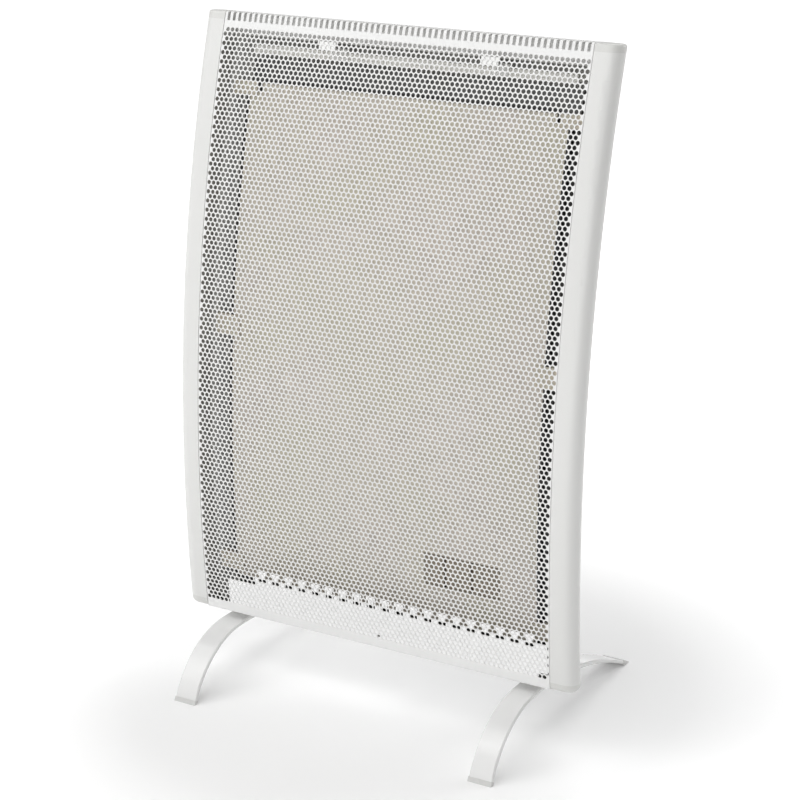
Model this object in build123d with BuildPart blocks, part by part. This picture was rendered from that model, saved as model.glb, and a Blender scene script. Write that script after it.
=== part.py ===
from build123d import *
import os
from math import asin, atan2, cos, degrees, radians, sin, sqrt

# Free-standing mica panel heater. Z is up, X to the right of someone facing the front, Y to the back.
# The origin is on the floor, under the middle of the feet. All lengths are in millimetres.

# Stance: how the body stands over its feet
lean_angle = 5.9
floor_clearance = 72.0

# Body
bow_radius = 1590.0
panel_height = 641.5
panel_width = 468.4
overrun = 2.0
seat_gap = 0.1
bow_gap = 0.3

# Side posts and their end caps
post_width = 25.9
post_depth = 26.0
post_nose_radius = 12.6
post_wall = 2.0
post_hollow_width = 16.0
top_cap_height = 8.0
bottom_cap_height = 9.0
top_cap_round = 3.0
bottom_cap_round = 6.5
cap_tongue_length = 9.0

# Front grille: a sheet turned back round all four edges
grille_gap = 0.5
grille_sheet = 0.7
grille_depth = 23.0
grille_bend = 2.4
grille_side_bend = 0.45
opening_pitch_across = 27.5
opening_pitch_up = 23.8
opening_width = 21.5
opening_height = 19.2
opening_columns = 15
opening_row_pairs = 13
opening_drop = 2.25
vent_slot_pitch = 6.55
vent_slot_width = 3.3
vent_slot_count = 63
vent_slot_drop = 8.7
vent_slot_depth = 13.0

# Back cover: a rim held in the posts and a pan with slots
rim_sheet = 1.0
rim_reach = 14.0
pan_side_gap = 31.2
pan_depth = 20.0
pan_top_gap = 23.0
pan_wall = 1.0
louvre_width = 62.0
louvre_height = 6.0
louvre_pitch_across = 76.0
louvre_pitch_up = 21.0
louvre_side_gap = 11.0
louvre_rows = 15
louvre_middle = 62.0

# Base plate, and the white shield behind the lowest holes with its step, teeth, slots, holes and notch
base_sheet = 1.5
base_gap = 0.4
base_reach = 46.0
shield_layer = 0.8
shield_sheet = 1.0
shield_left_gap = 30.0
shield_right_gap = 3.0
shield_height = 46.8
shield_step_width = 35.0
shield_step_height = 9.7
shield_stem_width = 6.5
shield_stem_height = 4.3
shield_head_width = 11.0
shield_head_height = 3.0
shield_tooth_pitch = 16.8
shield_first_tooth = 45.1
shield_slot_width = 10.0
shield_slot_height = 3.7
shield_slot_drop = 3.2
shield_hole_radius = 2.0
shield_middle_hole_inset = 187.3
shield_middle_hole_rise = 12.3
shield_right_hole_inset = 40.8
shield_right_hole_rise = 6.8
shield_notch_width = 10.0
shield_notch_height = 9.0
shield_notch_rise = 5.5

# Rail over the element, and the clips that hold the grille to it
rail_layer = 26.0
rail_height = 8.0
rail_drop = 36.75
rail_wall = 1.0
clip_width = 19.0
clip_height = 8.0
clip_sheet = 0.8
clip_left = 82.0
clip_right = 101.0
clip_drop = 25.5

# Heating element
element_layer = 26.0
mica_thickness = 0.8
ribbon_thickness = 0.4
element_top_gap = 68.3
element_bottom_gap = 35.2
element_side_gap = 19.0
channel_wall = 1.2
channel_lip = 2.0
corner_step_across = 16.0
corner_step_down = 12.0
ribbon_width = 9.0
ribbon_pitch = 18.0
ribbon_runs = 18
ribbon_margin = 24.0
bracket_top_height = 13.0
bracket_middle_height = 22.0
bracket_middle_drop = 2.25
bracket_bottom_height = 18.0
bracket_top_lap = 2.7
bracket_bottom_gap = 8.3
bracket_depth = 5.0
bracket_lap = 11.0

# Window through the sheets, and the block in it with its two slots
window_side_gap = 44.0
window_width = 88.0
window_rise = 59.0
window_height = 35.0
window_margin = 0.8
block_setback = 0.4
block_slot_width = 3.0
block_slot_depth = 8.0
block_first_slot = 24.3
block_slot_pitch = 31.2
block_slot_count = 2

# Reflector behind the element
reflector_layer = 36.0
reflector_sheet = 0.6
reflector_side_margin = 4.0
reflector_top_margin = 22.0
reflector_bottom_margin = 16.7

# Thermal cut-out on the reflector
cutout_radius = 8.0
cutout_height = 5.5
cutout_window_gap = 22.0
cutout_rise = 55.3
cutout_flange_length = 30.0
cutout_flange_width = 12.0
cutout_flange_sheet = 1.2

# Control box on the back, at the lower right
box_side_gap = 13.0
box_width = 170.0
box_end_gap = 5.5
box_height = 117.0
box_back = 112.0
box_wall = 2.5
box_round = 6.0
fascia_side_gap = 14.0
fascia_top_gap = 11.0
fascia_height = 76.0
fascia_thickness = 1.6
fascia_round = 5.0
controls_inset = 52.0

# Thermostat, its shaft and its knob
knob_inset = 52.0
knob_radius = 17.0
knob_height = 15.0
knob_gap = 0.5
knob_rib_count = 24
knob_rib_radius = 1.1
knob_pointer_width = 2.4
knob_pointer_length = 13.0
knob_pointer_depth = 0.8
knob_skirt_height = 3.0
knob_skirt_width = 2.0
shaft_radius = 3.0
shaft_fit = 0.05
shaft_bore_depth = 11.0
shaft_inside = 12.0
thermostat_width = 34.0
thermostat_height = 30.0
thermostat_depth = 18.0
thermostat_bush_radius = 4.6
shaft_hole_gap = 0.4

# Rocker switches
switch_inset = 98.0
switch_pitch = 34.0
switch_count = 2
switch_body_width = 15.0
switch_body_height = 22.0
switch_body_depth = 21.0
switch_bezel_border = 2.0
switch_bezel_thickness = 1.8
switch_fit = 0.2
rocker_width = 10.4
rocker_height = 16.6
rocker_thickness = 4.6
rocker_rise = 1.6
rocker_angle = 9.0
rocker_side_gap = 0.4
rocker_end_gap = 0.7
rocker_well_depth = 9.0
trunnion_radius = 1.5
trunnion_length = 1.6
trunnion_fit = 0.05

# Indicator lamp above the switches
lamp_top_gap = 22.0
lamp_inset = 115.0
lamp_radius = 4.0
lamp_height = 2.4
lamp_body_length = 16.0
lamp_fit = 0.2
lamp_flange_width = 1.2
lamp_flange_height = 1.0

# Tip-over switch in the control box: a pendulum in a bracket
tip_inset = 20.0
tip_width = 16.0
tip_wall = 1.2
tip_length = 20.0
tip_pin_height = 34.0
tip_pin_radius = 1.5
tip_pin_setback = 20.0
tip_bob_radius = 6.0
tip_bob_length = 9.0
tip_hang = 20.0
tip_rod_radius = 1.6
tip_eye_radius = 3.4
tip_fit = 0.05
tip_side_gap = 0.6
tip_wall_top = 5.0

# Cord gland in the back of the control box
gland_side_gap = 26.0
gland_end_gap = 15.0
gland_radius = 6.0
gland_bore_radius = 3.6
gland_flange_radius = 9.0
gland_flange = 3.0
gland_length = 16.0

# Leads from the block to the control box, and the grommet they pass
lead_radius = 1.4
lead_inset = 36.0
lead_pitch = 6.0
lead_box_gap = 72.0
lead_bend = 4.5
lead_count = 2
lead_layer = 31.5
lead_tail = 22.0
grommet_radius = 9.0
grommet_neck = 7.0
grommet_lip = 1.5
grommet_hole_gap = 0.2
lead_hole_gap = 0.3

# Carrying handle on the back, near the top
handle_drop = 73.0
handle_span = 120.0
handle_standoff = 40.0
handle_bend = 16.0
handle_thickness = 13.0
handle_bar_height = 18.0
handle_foot_inset = 10.0
handle_foot_reach = 26.0
handle_foot_height = 26.0
handle_foot_thickness = 4.0
handle_section_round = 5.0
handle_screw_reach = 17.0

# Feet: an arched strip each, with an end piece on the floor at both ends
foot_inset = 56.9
foot_width = 26.2
foot_thickness = 4.5
foot_rise = 61.0
foot_front_radius = 100.0
foot_back_radius = 480.0
foot_edge_round = 1.8
toe_piece_length = 5.0
heel_piece_length = 14.0
tip_piece_swell = 0.5
tip_piece_round = 1.4
tip_tongue_length = 9.0
tip_tongue_width = 15.0
tip_tongue_thickness = 1.6

# Saddles between the feet and the base plate
saddle_front = 57.5
saddle_length = 21.0
saddle_width = 24.0
saddle_block_height = 20.0

# Screws
post_screw_radius = 1.75
post_screw_head_radius = 3.4
post_screw_head_height = 2.2
post_screw_rows = 4
post_screw_end_gap = 47.5
post_screw_inset = 19.2
rail_screw_radius = 1.5
rail_screw_head_radius = 2.8
rail_screw_head_height = 1.6
rail_screw_inset = 12.0
box_screw_radius = 1.75
box_screw_head_radius = 3.4
box_screw_head_height = 2.0
box_ear_width = 14.0
box_ear_thickness = 3.0
box_ear_reach = 14.0
box_first_ear = 30.0
box_second_ear = 140.0
box_ear_rise = 23.0
foot_screw_radius = 2.0
foot_screw_head_radius = 4.0
foot_screw_head_height = 2.2
foot_screw_pitch = 12.0
foot_screw_grip = 19.0
handle_screw_radius = 2.0
handle_screw_head_radius = 3.6
handle_screw_head_height = 2.2
screw_fit = 0.1
thread_tail = 3.0
drive_slot_width = 0.9
drive_slot_share = 0.55

# Sizes that follow from the ones above
half_height = panel_height / 2
half_width = panel_width / 2
middle_height = floor_clearance + half_height
post_inner = half_width - post_width
grille_half_width = post_inner - grille_gap
pan_half_width = half_width - pan_side_gap
pan_top = half_height - pan_top_gap
rim_half_width = post_inner + rim_reach
rim_layer = grille_depth
rim_back_layer = rim_layer + rim_sheet
pan_layer = rim_back_layer + pan_depth
pan_floor_layer = pan_layer - pan_wall
louvre_field = 2 * (pan_half_width - louvre_side_gap) - louvre_width
louvre_columns = int(louvre_field / louvre_pitch_across) + 1
base_top = half_height - grille_sheet - base_sheet
shield_left = post_inner - shield_left_gap
shield_right = post_inner - shield_right_gap
shield_top = base_top - shield_height
rail_middle = half_height - rail_drop
clip_middle = half_height - clip_drop
element_half_width = pan_half_width - element_side_gap
element_top = half_height - element_top_gap
element_bottom = half_height - element_bottom_gap
window_right = element_half_width - window_side_gap
window_left = window_right - window_width
window_middle = element_bottom - window_rise
block_front_layer = element_layer + block_setback
reflector_half_width = element_half_width + reflector_side_margin
reflector_top = element_top + reflector_top_margin
reflector_bottom = element_bottom + reflector_bottom_margin
cutout_across = window_left - cutout_window_gap
cutout_drop = element_bottom - cutout_rise
box_right = pan_half_width - box_side_gap
box_left = box_right - box_width
box_bottom = half_height - box_end_gap
box_top = box_bottom - box_height
fascia_left = box_left + fascia_side_gap
fascia_right = box_right - fascia_side_gap
fascia_top = box_top + fascia_top_gap
fascia_bottom = fascia_top + fascia_height
controls_drop = box_top + controls_inset
knob_across = box_left + knob_inset
switch_first = box_left + switch_inset
lamp_across = box_left + lamp_inset
lamp_drop = box_top + lamp_top_gap
tip_across = box_left + tip_inset
gland_across = box_right - gland_side_gap
gland_drop = box_bottom - gland_end_gap
lead_across = window_left + lead_inset
lead_drop = box_top + lead_box_gap
handle_rise = half_height - handle_drop
handle_screw_across = handle_span / 2 + handle_screw_reach
handle_foot_inner = handle_span / 2 - handle_foot_inset
handle_foot_outer = handle_span / 2 + handle_foot_reach
foot_across = half_width - foot_inset
ribbon_layer = element_layer + mica_thickness + seat_gap
ribbon_back_layer = ribbon_layer + ribbon_thickness
back_mica_layer = ribbon_back_layer + seat_gap
element_back_layer = back_mica_layer + mica_thickness
fascia_face = box_back + fascia_thickness
toe_reach = sqrt(foot_front_radius**2 - (foot_front_radius - foot_rise) ** 2)
heel_reach = sqrt(foot_back_radius**2 - (foot_back_radius - foot_rise) ** 2)
apex_setback = (heel_reach - toe_reach) / 2

body = Plane(
    origin=(0, -apex_setback, middle_height),
    x_dir=(1, 0, 0),
    z_dir=(0, sin(radians(lean_angle)), cos(radians(lean_angle))),
)
sides = ((-1, "left"), (1, "right"))

os.makedirs("parts", exist_ok=True)


def leaning(plane):
    """The plane as it stands in the leaning body, whose middle is the middle of its front surface."""
    return Plane(body * plane)


def seen_from_side(across):
    """Plane across the body: its X runs to the back and its Y up the body."""
    return leaning(Plane.YZ.offset(across))


def seen_from_back(depth):
    """Plane facing back at a depth in the body: its X runs to the body's left and its Y up."""
    return leaning(Plane(origin=(0, depth, 0), x_dir=(-1, 0, 0), z_dir=(0, 1, 0)))


def seen_from_front(depth):
    """Plane facing the front at a depth in the body: its X runs to the right and its Y up."""
    return leaning(Plane(origin=(0, depth, 0), x_dir=(1, 0, 0), z_dir=(0, -1, 0)))


def seen_from_top(rise):
    """Plane facing up the body at a rise: its X runs to the right and its Y to the back."""
    return leaning(Plane.XY.offset(rise))


def bow_depth(layer, rise):
    """Depth in the body, at a rise, of the bowed surface that lies a layer behind the front."""
    return bow_radius - sqrt((bow_radius - layer) ** 2 - rise**2)


def on_bow(across, layer, rise):
    """Plane on a layer of the bow, facing squarely out of its back: its X runs left and its Y up."""
    tilt = asin(rise / (bow_radius - layer))
    return leaning(
        Plane(
            origin=(across, bow_depth(layer, rise), rise),
            x_dir=(-1, 0, 0),
            z_dir=(0, cos(tilt), -sin(tilt)),
        )
    )


def bow_band(front_layer, back_layer, low, high):
    """Draw the closed side view of a sheet between two layers of the bow and two rises."""
    middle = (low + high) / 2

    def at(layer, rise):
        return (bow_depth(layer, rise), rise)

    ThreePointArc(at(front_layer, low), at(front_layer, middle), at(front_layer, high))
    Line(at(front_layer, high), at(back_layer, high))
    ThreePointArc(at(back_layer, high), at(back_layer, middle), at(back_layer, low))
    Line(at(back_layer, low), at(front_layer, low))


def bowed_plate(left, right, front_layer, back_layer, low, high, mode=Mode.ADD):
    """Add or cut, in the open part, a bowed plate from one side to the other."""
    with BuildSketch(seen_from_side(left)) as section:
        with BuildLine():
            bow_band(front_layer, back_layer, low, high)
        make_face()
    extrude(section.sketch, amount=right - left, mode=mode)


def block(left, right, front, back, low, high, mode=Mode.ADD):
    """Add or cut, in the open part, a straight block given by its six sides in the leaning body."""
    with BuildSketch(seen_from_top(low)) as section:
        with Locations(((left + right) / 2, (front + back) / 2)):
            Rectangle(right - left, back - front)
    extrude(section.sketch, amount=high - low, mode=mode)


def rod(plane, radius, length, mode=Mode.ADD):
    """Add or cut, in the open part, a round rod that starts on a plane and runs along its normal."""
    with BuildSketch(plane) as section:
        Circle(radius)
    extrude(section.sketch, amount=length, mode=mode)


def screw(seat, radius, head_radius, head_height, grip):
    """Add a pan-head screw whose head stands a seat gap off its curved seat, facing out of it."""
    head = seat.offset(seat_gap)
    rod(head, head_radius, head_height)
    rod(head, radius, -grip)
    with BuildSketch(head.offset(head_height)) as slot:
        Rectangle(head_radius * 2, drive_slot_width)
    extrude(slot.sketch, amount=-head_height * drive_slot_share, mode=Mode.SUBTRACT)


def screw_hole(seat, radius, depth):
    """Cut, in the open part, a screw's hole from above its seat down to a depth under it."""
    rod(seat.offset(overrun), radius + screw_fit, -depth - 2 * overrun, mode=Mode.SUBTRACT)


def facing_front(across, layer, rise):
    """Plane on a layer of the bow, facing squarely out of its front: its X runs right and its Y up."""
    back = on_bow(across, layer, rise)
    return Plane(origin=back.origin, x_dir=(1, 0, 0), z_dir=-back.z_dir)


# Where the screws sit, facing out of their heads, and how far each goes in
post_screw_depth = post_depth - rim_layer
handle_screw_depth = handle_foot_thickness + pan_wall
box_screw_depth = box_ear_thickness + pan_wall
rail_screw_depth = pan_wall + rail_wall
post_screw_across = half_width - post_screw_inset
post_screw_top = half_height - post_screw_end_gap
post_screw_pitch = 2 * post_screw_top / (post_screw_rows - 1)
post_screw_rises = [row * post_screw_pitch - post_screw_top for row in range(post_screw_rows)]
rail_screw_across = element_half_width - rail_screw_inset
post_screw_seats = [
    on_bow(side * post_screw_across, post_depth, rise) for side, name in sides for rise in post_screw_rises
]
handle_screw_seats = [
    on_bow(side * handle_screw_across, pan_layer + handle_foot_thickness, handle_rise) for side, name in sides
]
rail_screw_seats = [on_bow(side * rail_screw_across, pan_layer, rail_middle) for side, name in sides]
box_screw_places = (
    (box_left + box_first_ear, -box_top + box_ear_reach / 2),
    (box_left + box_second_ear, -box_top + box_ear_reach / 2),
    (box_left - box_ear_reach / 2, -box_bottom + box_ear_rise),
)
box_screw_seats = [on_bow(across, pan_layer + box_ear_thickness, rise) for across, rise in box_screw_places]

# Side posts: bowed bars with a round outer edge, hollow and open to the inside
up_body = Axis(body.origin, body.z_dir)
top_cut = half_height - top_cap_height
bottom_cut = -half_height + bottom_cap_height


def post_bar(side):
    """The whole bar of one post, from end to end, with its round outer edge."""
    left, right = sorted((side * post_inner, side * half_width))
    with BuildPart() as bar:
        bowed_plate(left, right, 0, post_depth, -half_height, half_height)
        long_edges = bar.edges().filter_by(GeomType.CIRCLE).group_by(Axis.X)
        fillet(long_edges[0] if side < 0 else long_edges[-1], post_nose_radius)
    return bar.part


def post_hollow(side, gap, low, high, mode):
    """Add or cut the hollow of a post between two rises, smaller by a gap at its walls."""
    opening = overrun if mode is Mode.SUBTRACT else 0
    left, right = sorted((side * (post_inner - opening), side * (post_inner + post_hollow_width - gap)))
    bowed_plate(left, right, post_wall + gap, post_depth - post_wall - gap, low, high, mode)


for side, name in sides:
    bar = post_bar(side)
    with BuildPart() as post:
        add(bar)
        split(bisect_by=seen_from_top(top_cut), keep=Keep.BOTTOM)
        split(bisect_by=seen_from_top(bottom_cut), keep=Keep.TOP)
        post_hollow(side, 0, bottom_cut - overrun, top_cut + overrun, Mode.SUBTRACT)
        for seat in post_screw_seats:
            screw_hole(seat, post_screw_radius, post_wall)
    post.part.label = f"{name}_post"
    export_step(post.part, f"parts/{name}_post.step")

    with BuildPart() as top_cap:
        add(bar)
        split(bisect_by=seen_from_top(top_cut), keep=Keep.TOP)
        outline = top_cap.faces().sort_by(up_body)[-1].edges()
        fillet(outline.sort_by(Axis.X, reverse=side < 0)[1:], top_cap_round)
        post_hollow(side, seat_gap, top_cut - cap_tongue_length, top_cut, Mode.ADD)
    top_cap.part.label = f"{name}_post_top_cap"
    export_step(top_cap.part, f"parts/{name}_post_top_cap.step")

    with BuildPart() as bottom_cap:
        add(bar)
        split(bisect_by=seen_from_top(bottom_cut), keep=Keep.BOTTOM)
        outline = bottom_cap.faces().sort_by(up_body)[0].edges()
        fillet(outline.sort_by(Axis.X, reverse=side < 0)[1:], bottom_cap_round)
        post_hollow(side, seat_gap, bottom_cut, bottom_cut + cap_tongue_length, Mode.ADD)
    bottom_cap.part.label = f"{name}_post_bottom_cap"
    export_step(bottom_cap.part, f"parts/{name}_post_bottom_cap.step")

# Front grille: the perforated sheet, turned back round its edges, with the comb of slots on top
sheet_top = half_height - grille_sheet
vent_front = bow_depth(0, half_height)
perforation_depth = bow_depth(grille_sheet, sheet_top) + 2 * overrun
with BuildPart() as front_grille:
    bowed_plate(-grille_half_width, grille_half_width, 0, grille_depth, -half_height, half_height)
    front_face = front_grille.faces().sort_by(Axis(body.origin, body.y_dir))[0]
    fillet(front_face.edges().filter_by(GeomType.LINE), grille_bend)
    front_face = front_grille.faces().sort_by(Axis(body.origin, body.y_dir))[0]
    fillet(front_face.edges().filter_by(GeomType.CIRCLE), grille_side_bend)
    inner_half_width = grille_half_width - grille_sheet
    bowed_plate(
        -inner_half_width,
        inner_half_width,
        grille_sheet,
        grille_depth + overrun,
        -sheet_top,
        sheet_top,
        mode=Mode.SUBTRACT,
    )
    with BuildSketch(seen_from_top(half_height - vent_slot_drop)):
        with Locations((0, vent_front + (vent_slot_depth - overrun) / 2)):
            with GridLocations(vent_slot_pitch, 0, vent_slot_count, 1):
                Rectangle(vent_slot_width, vent_slot_depth + overrun)
    extrude(amount=vent_slot_drop + overrun, mode=Mode.SUBTRACT)
    with BuildSketch(seen_from_front(-overrun)):
        with Locations((0, opening_pitch_up / 2 - opening_drop)):
            with GridLocations(
                opening_pitch_across, 2 * opening_pitch_up, opening_columns, opening_row_pairs
            ):
                Rectangle(opening_width, opening_height)
        with Locations((0, -opening_pitch_up / 2 - opening_drop)):
            with GridLocations(
                opening_pitch_across, 2 * opening_pitch_up, opening_columns - 1, opening_row_pairs
            ):
                Rectangle(opening_width, opening_height)
    extrude(amount=-perforation_depth, mode=Mode.SUBTRACT)
front_grille.part.label = "front_grille"
export_step(front_grille.part, "parts/front_grille.step")

# Where the arcs of the feet stand, and where their screws go
apex = -apex_setback
front_centre = (apex, foot_rise - foot_front_radius)
back_centre = (apex, foot_rise - foot_back_radius)
toe_end = degrees(asin(toe_reach / foot_front_radius) - toe_piece_length / foot_front_radius)
heel_end = degrees(asin(heel_reach / foot_back_radius) - heel_piece_length / foot_back_radius)
toe_past = toe_end + 2 * degrees(toe_piece_length / foot_front_radius)
heel_past = heel_end + 2 * degrees(heel_piece_length / foot_back_radius)
base_front = bow_depth(grille_sheet, sheet_top) + base_gap
saddle_middle = saddle_front + saddle_length / 2
foot_screw_steps = (-foot_screw_pitch / 2, foot_screw_pitch / 2)


def toe_point(inset, angle):
    """Point of the front arc, an inset under the foot's upper face, at an angle from the apex."""
    radius = foot_front_radius - inset
    return (front_centre[0] - radius * sin(radians(angle)), front_centre[1] + radius * cos(radians(angle)))


def heel_point(inset, angle):
    """Point of the back arc, an inset under the foot's upper face, at an angle from the apex."""
    radius = foot_back_radius - inset
    return (back_centre[0] + radius * sin(radians(angle)), back_centre[1] + radius * cos(radians(angle)))


def arc_band(point, upper, lower, start, end):
    """Draw the closed side view of a piece of a foot's arc, between two insets and two angles."""
    middle = (start + end) / 2
    ThreePointArc(point(upper, start), point(upper, middle), point(upper, end))
    Line(point(upper, end), point(lower, end))
    ThreePointArc(point(lower, end), point(lower, middle), point(lower, start))
    Line(point(lower, start), point(upper, start))


def arc_piece(left, right, point, upper, lower, start, end, mode=Mode.ADD):
    """Add or cut, in the open part, a piece of a foot's arc between two sides."""
    with BuildSketch(Plane.YZ.offset(left)) as section:
        with BuildLine():
            arc_band(point, upper, lower, start, end)
        make_face()
    extrude(section.sketch, amount=right - left, mode=mode)


def foot_screw_seat(side, step):
    """Plane on a foot's underside, facing down, at one of the two screws of its saddle."""
    place = body.from_local_coords((side * foot_across, saddle_middle + step, -sheet_top))
    tilt = atan2(place.Y - back_centre[0], place.Z - back_centre[1])
    underside = (side * foot_across, *heel_point(foot_thickness, degrees(tilt)))
    return Plane(origin=underside, x_dir=(1, 0, 0), z_dir=(0, -sin(tilt), -cos(tilt)))


def foot_screw_holes(depth, at_sides=(-1, 1)):
    """Cut, in the open part, the holes of the screws that hold the feet, down to a depth."""
    for side in at_sides:
        for step in foot_screw_steps:
            screw_hole(foot_screw_seat(side, step), foot_screw_radius, depth)


# Back cover: a rim between the posts and in their hollows, and a pan with slots behind it
rim_top = top_cut - cap_tongue_length - seat_gap
rim_bottom = bottom_cut + cap_tongue_length + seat_gap
pan_inner = pan_half_width - pan_wall
lead_middle = lead_across + lead_pitch * (lead_count - 1) / 2
pan_distance = pan_layer - lead_layer


def lead_corner(across):
    """Plane facing back at the bend of a lead."""
    return on_bow(across, lead_layer, -lead_drop)


with BuildPart() as back_cover:
    bowed_plate(-rim_half_width, rim_half_width, rim_layer, rim_back_layer, rim_bottom, rim_top)
    bowed_plate(-grille_half_width, grille_half_width, rim_layer, rim_back_layer, -base_top, half_height)
    bowed_plate(-pan_half_width, pan_half_width, rim_layer, pan_layer, -base_top, pan_top)
    bowed_plate(
        -pan_inner,
        pan_inner,
        rim_layer - overrun,
        pan_floor_layer,
        -base_top + pan_wall,
        pan_top - pan_wall,
        mode=Mode.SUBTRACT,
    )
    with BuildSketch(seen_from_back(pan_depth / 2 + rim_back_layer)):
        with Locations((0, louvre_middle)):
            with GridLocations(louvre_pitch_across, louvre_pitch_up, louvre_columns, louvre_rows):
                Rectangle(louvre_width, louvre_height)
    extrude(amount=pan_depth + bow_depth(0, half_height), mode=Mode.SUBTRACT)
    for seat in post_screw_seats:
        screw_hole(seat, post_screw_radius, post_screw_depth)
    for seat in rail_screw_seats:
        screw_hole(seat, rail_screw_radius, rail_screw_depth)
    for seat in handle_screw_seats:
        screw_hole(seat, handle_screw_radius, handle_screw_depth)
    for seat in box_screw_seats:
        screw_hole(seat, box_screw_radius, box_screw_depth)
    hole = lead_corner(lead_middle).offset(pan_distance - pan_wall - overrun)
    rod(hole, grommet_neck + grommet_hole_gap, pan_wall + 2 * overrun, mode=Mode.SUBTRACT)
    foot_screw_holes(foot_screw_grip)
back_cover.part.label = "back_cover"
export_step(back_cover.part, "parts/back_cover.step")

# Feet, and the saddles and screws that hold them to the base plate
def tongue_insets(gap):
    """Upper and lower inset of the tongue that holds an end piece in a foot."""
    upper = (foot_thickness - tip_tongue_thickness) / 2
    return upper - gap, foot_thickness - upper + gap


for side, name in sides:
    left = side * foot_across - foot_width / 2
    right = side * foot_across + foot_width / 2
    with BuildPart() as foot:
        arc_piece(left, right, toe_point, 0, foot_thickness, 0, toe_end)
        arc_piece(left, right, heel_point, 0, foot_thickness, 0, heel_end)
        fillet(foot.edges().filter_by(GeomType.CIRCLE), foot_edge_round)
        slot_left = side * foot_across - tip_tongue_width / 2 - seat_gap
        slot_right = side * foot_across + tip_tongue_width / 2 + seat_gap
        upper, lower = tongue_insets(seat_gap)
        toe_slot = toe_end - degrees((tip_tongue_length + seat_gap) / foot_front_radius)
        heel_slot = heel_end - degrees((tip_tongue_length + seat_gap) / foot_back_radius)
        arc_piece(slot_left, slot_right, toe_point, upper, lower, toe_slot, toe_past, Mode.SUBTRACT)
        arc_piece(slot_left, slot_right, heel_point, upper, lower, heel_slot, heel_past, Mode.SUBTRACT)
        foot_screw_holes(foot_thickness, (side,))
    foot.part.label = f"{name}_foot"
    export_step(foot.part, f"parts/{name}_foot.step")

    with BuildPart() as saddle:
        block(
            side * foot_across - saddle_width / 2,
            side * foot_across + saddle_width / 2,
            saddle_front,
            saddle_front + saddle_length,
            -sheet_top - saddle_block_height,
            -sheet_top,
        )
        with BuildSketch(Plane.YZ.offset(side * foot_across)):
            with Locations(back_centre):
                Circle(foot_back_radius)
        extrude(amount=saddle_width / 2 + overrun, both=True, mode=Mode.SUBTRACT)
        foot_screw_holes(foot_screw_grip, (side,))
    saddle.part.label = f"{name}_foot_saddle"
    export_step(saddle.part, f"parts/{name}_foot_saddle.step")


def foot_ends(point, end, past, radius, tongue_length):
    """Both feet's end pieces at one end: rounded blocks cut flat on the floor, each with its tongue."""
    upper, lower = tongue_insets(0)
    with BuildPart() as pieces:
        for side, name in sides:
            left = side * foot_across - foot_width / 2 - tip_piece_swell
            right = side * foot_across + foot_width / 2 + tip_piece_swell
            arc_piece(left, right, point, -tip_piece_swell, foot_thickness + tip_piece_swell, end, past)
        fillet(pieces.edges().filter_by(GeomType.CIRCLE), tip_piece_round)
        for side, name in sides:
            left = side * foot_across - tip_tongue_width / 2
            tongue_start = end - degrees(tongue_length / radius)
            arc_piece(left, left + tip_tongue_width, point, upper, lower, tongue_start, end)
        split(bisect_by=Plane.XY, keep=Keep.TOP)
    return pieces.part


with BuildPart() as front_foot_tips:
    add(foot_ends(toe_point, toe_end, toe_past, foot_front_radius, tip_tongue_length))
front_foot_tips.part.label = "front_foot_tips"
export_step(front_foot_tips.part, "parts/front_foot_tips.step")

with BuildPart() as back_foot_tips:
    add(foot_ends(heel_point, heel_end, heel_past, foot_back_radius, tip_tongue_length))
back_foot_tips.part.label = "back_foot_tips"
export_step(back_foot_tips.part, "parts/back_foot_tips.step")

with BuildPart() as foot_screws:
    for side, name in sides:
        for step in foot_screw_steps:
            seat = foot_screw_seat(side, step)
            screw(seat, foot_screw_radius, foot_screw_head_radius, foot_screw_head_height, foot_screw_grip)
foot_screws.part.label = "foot_screws"
export_step(foot_screws.part, "parts/foot_screws.step")

# Base plate, on which the body stands over its feet
with BuildPart() as base_plate:
    base_half_width = grille_half_width - grille_sheet - base_gap
    block(-base_half_width, base_half_width, base_front, base_front + base_reach, -sheet_top, -base_top)
    foot_screw_holes(foot_screw_grip)
base_plate.part.label = "base_plate"
export_step(base_plate.part, "parts/base_plate.step")

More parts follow.
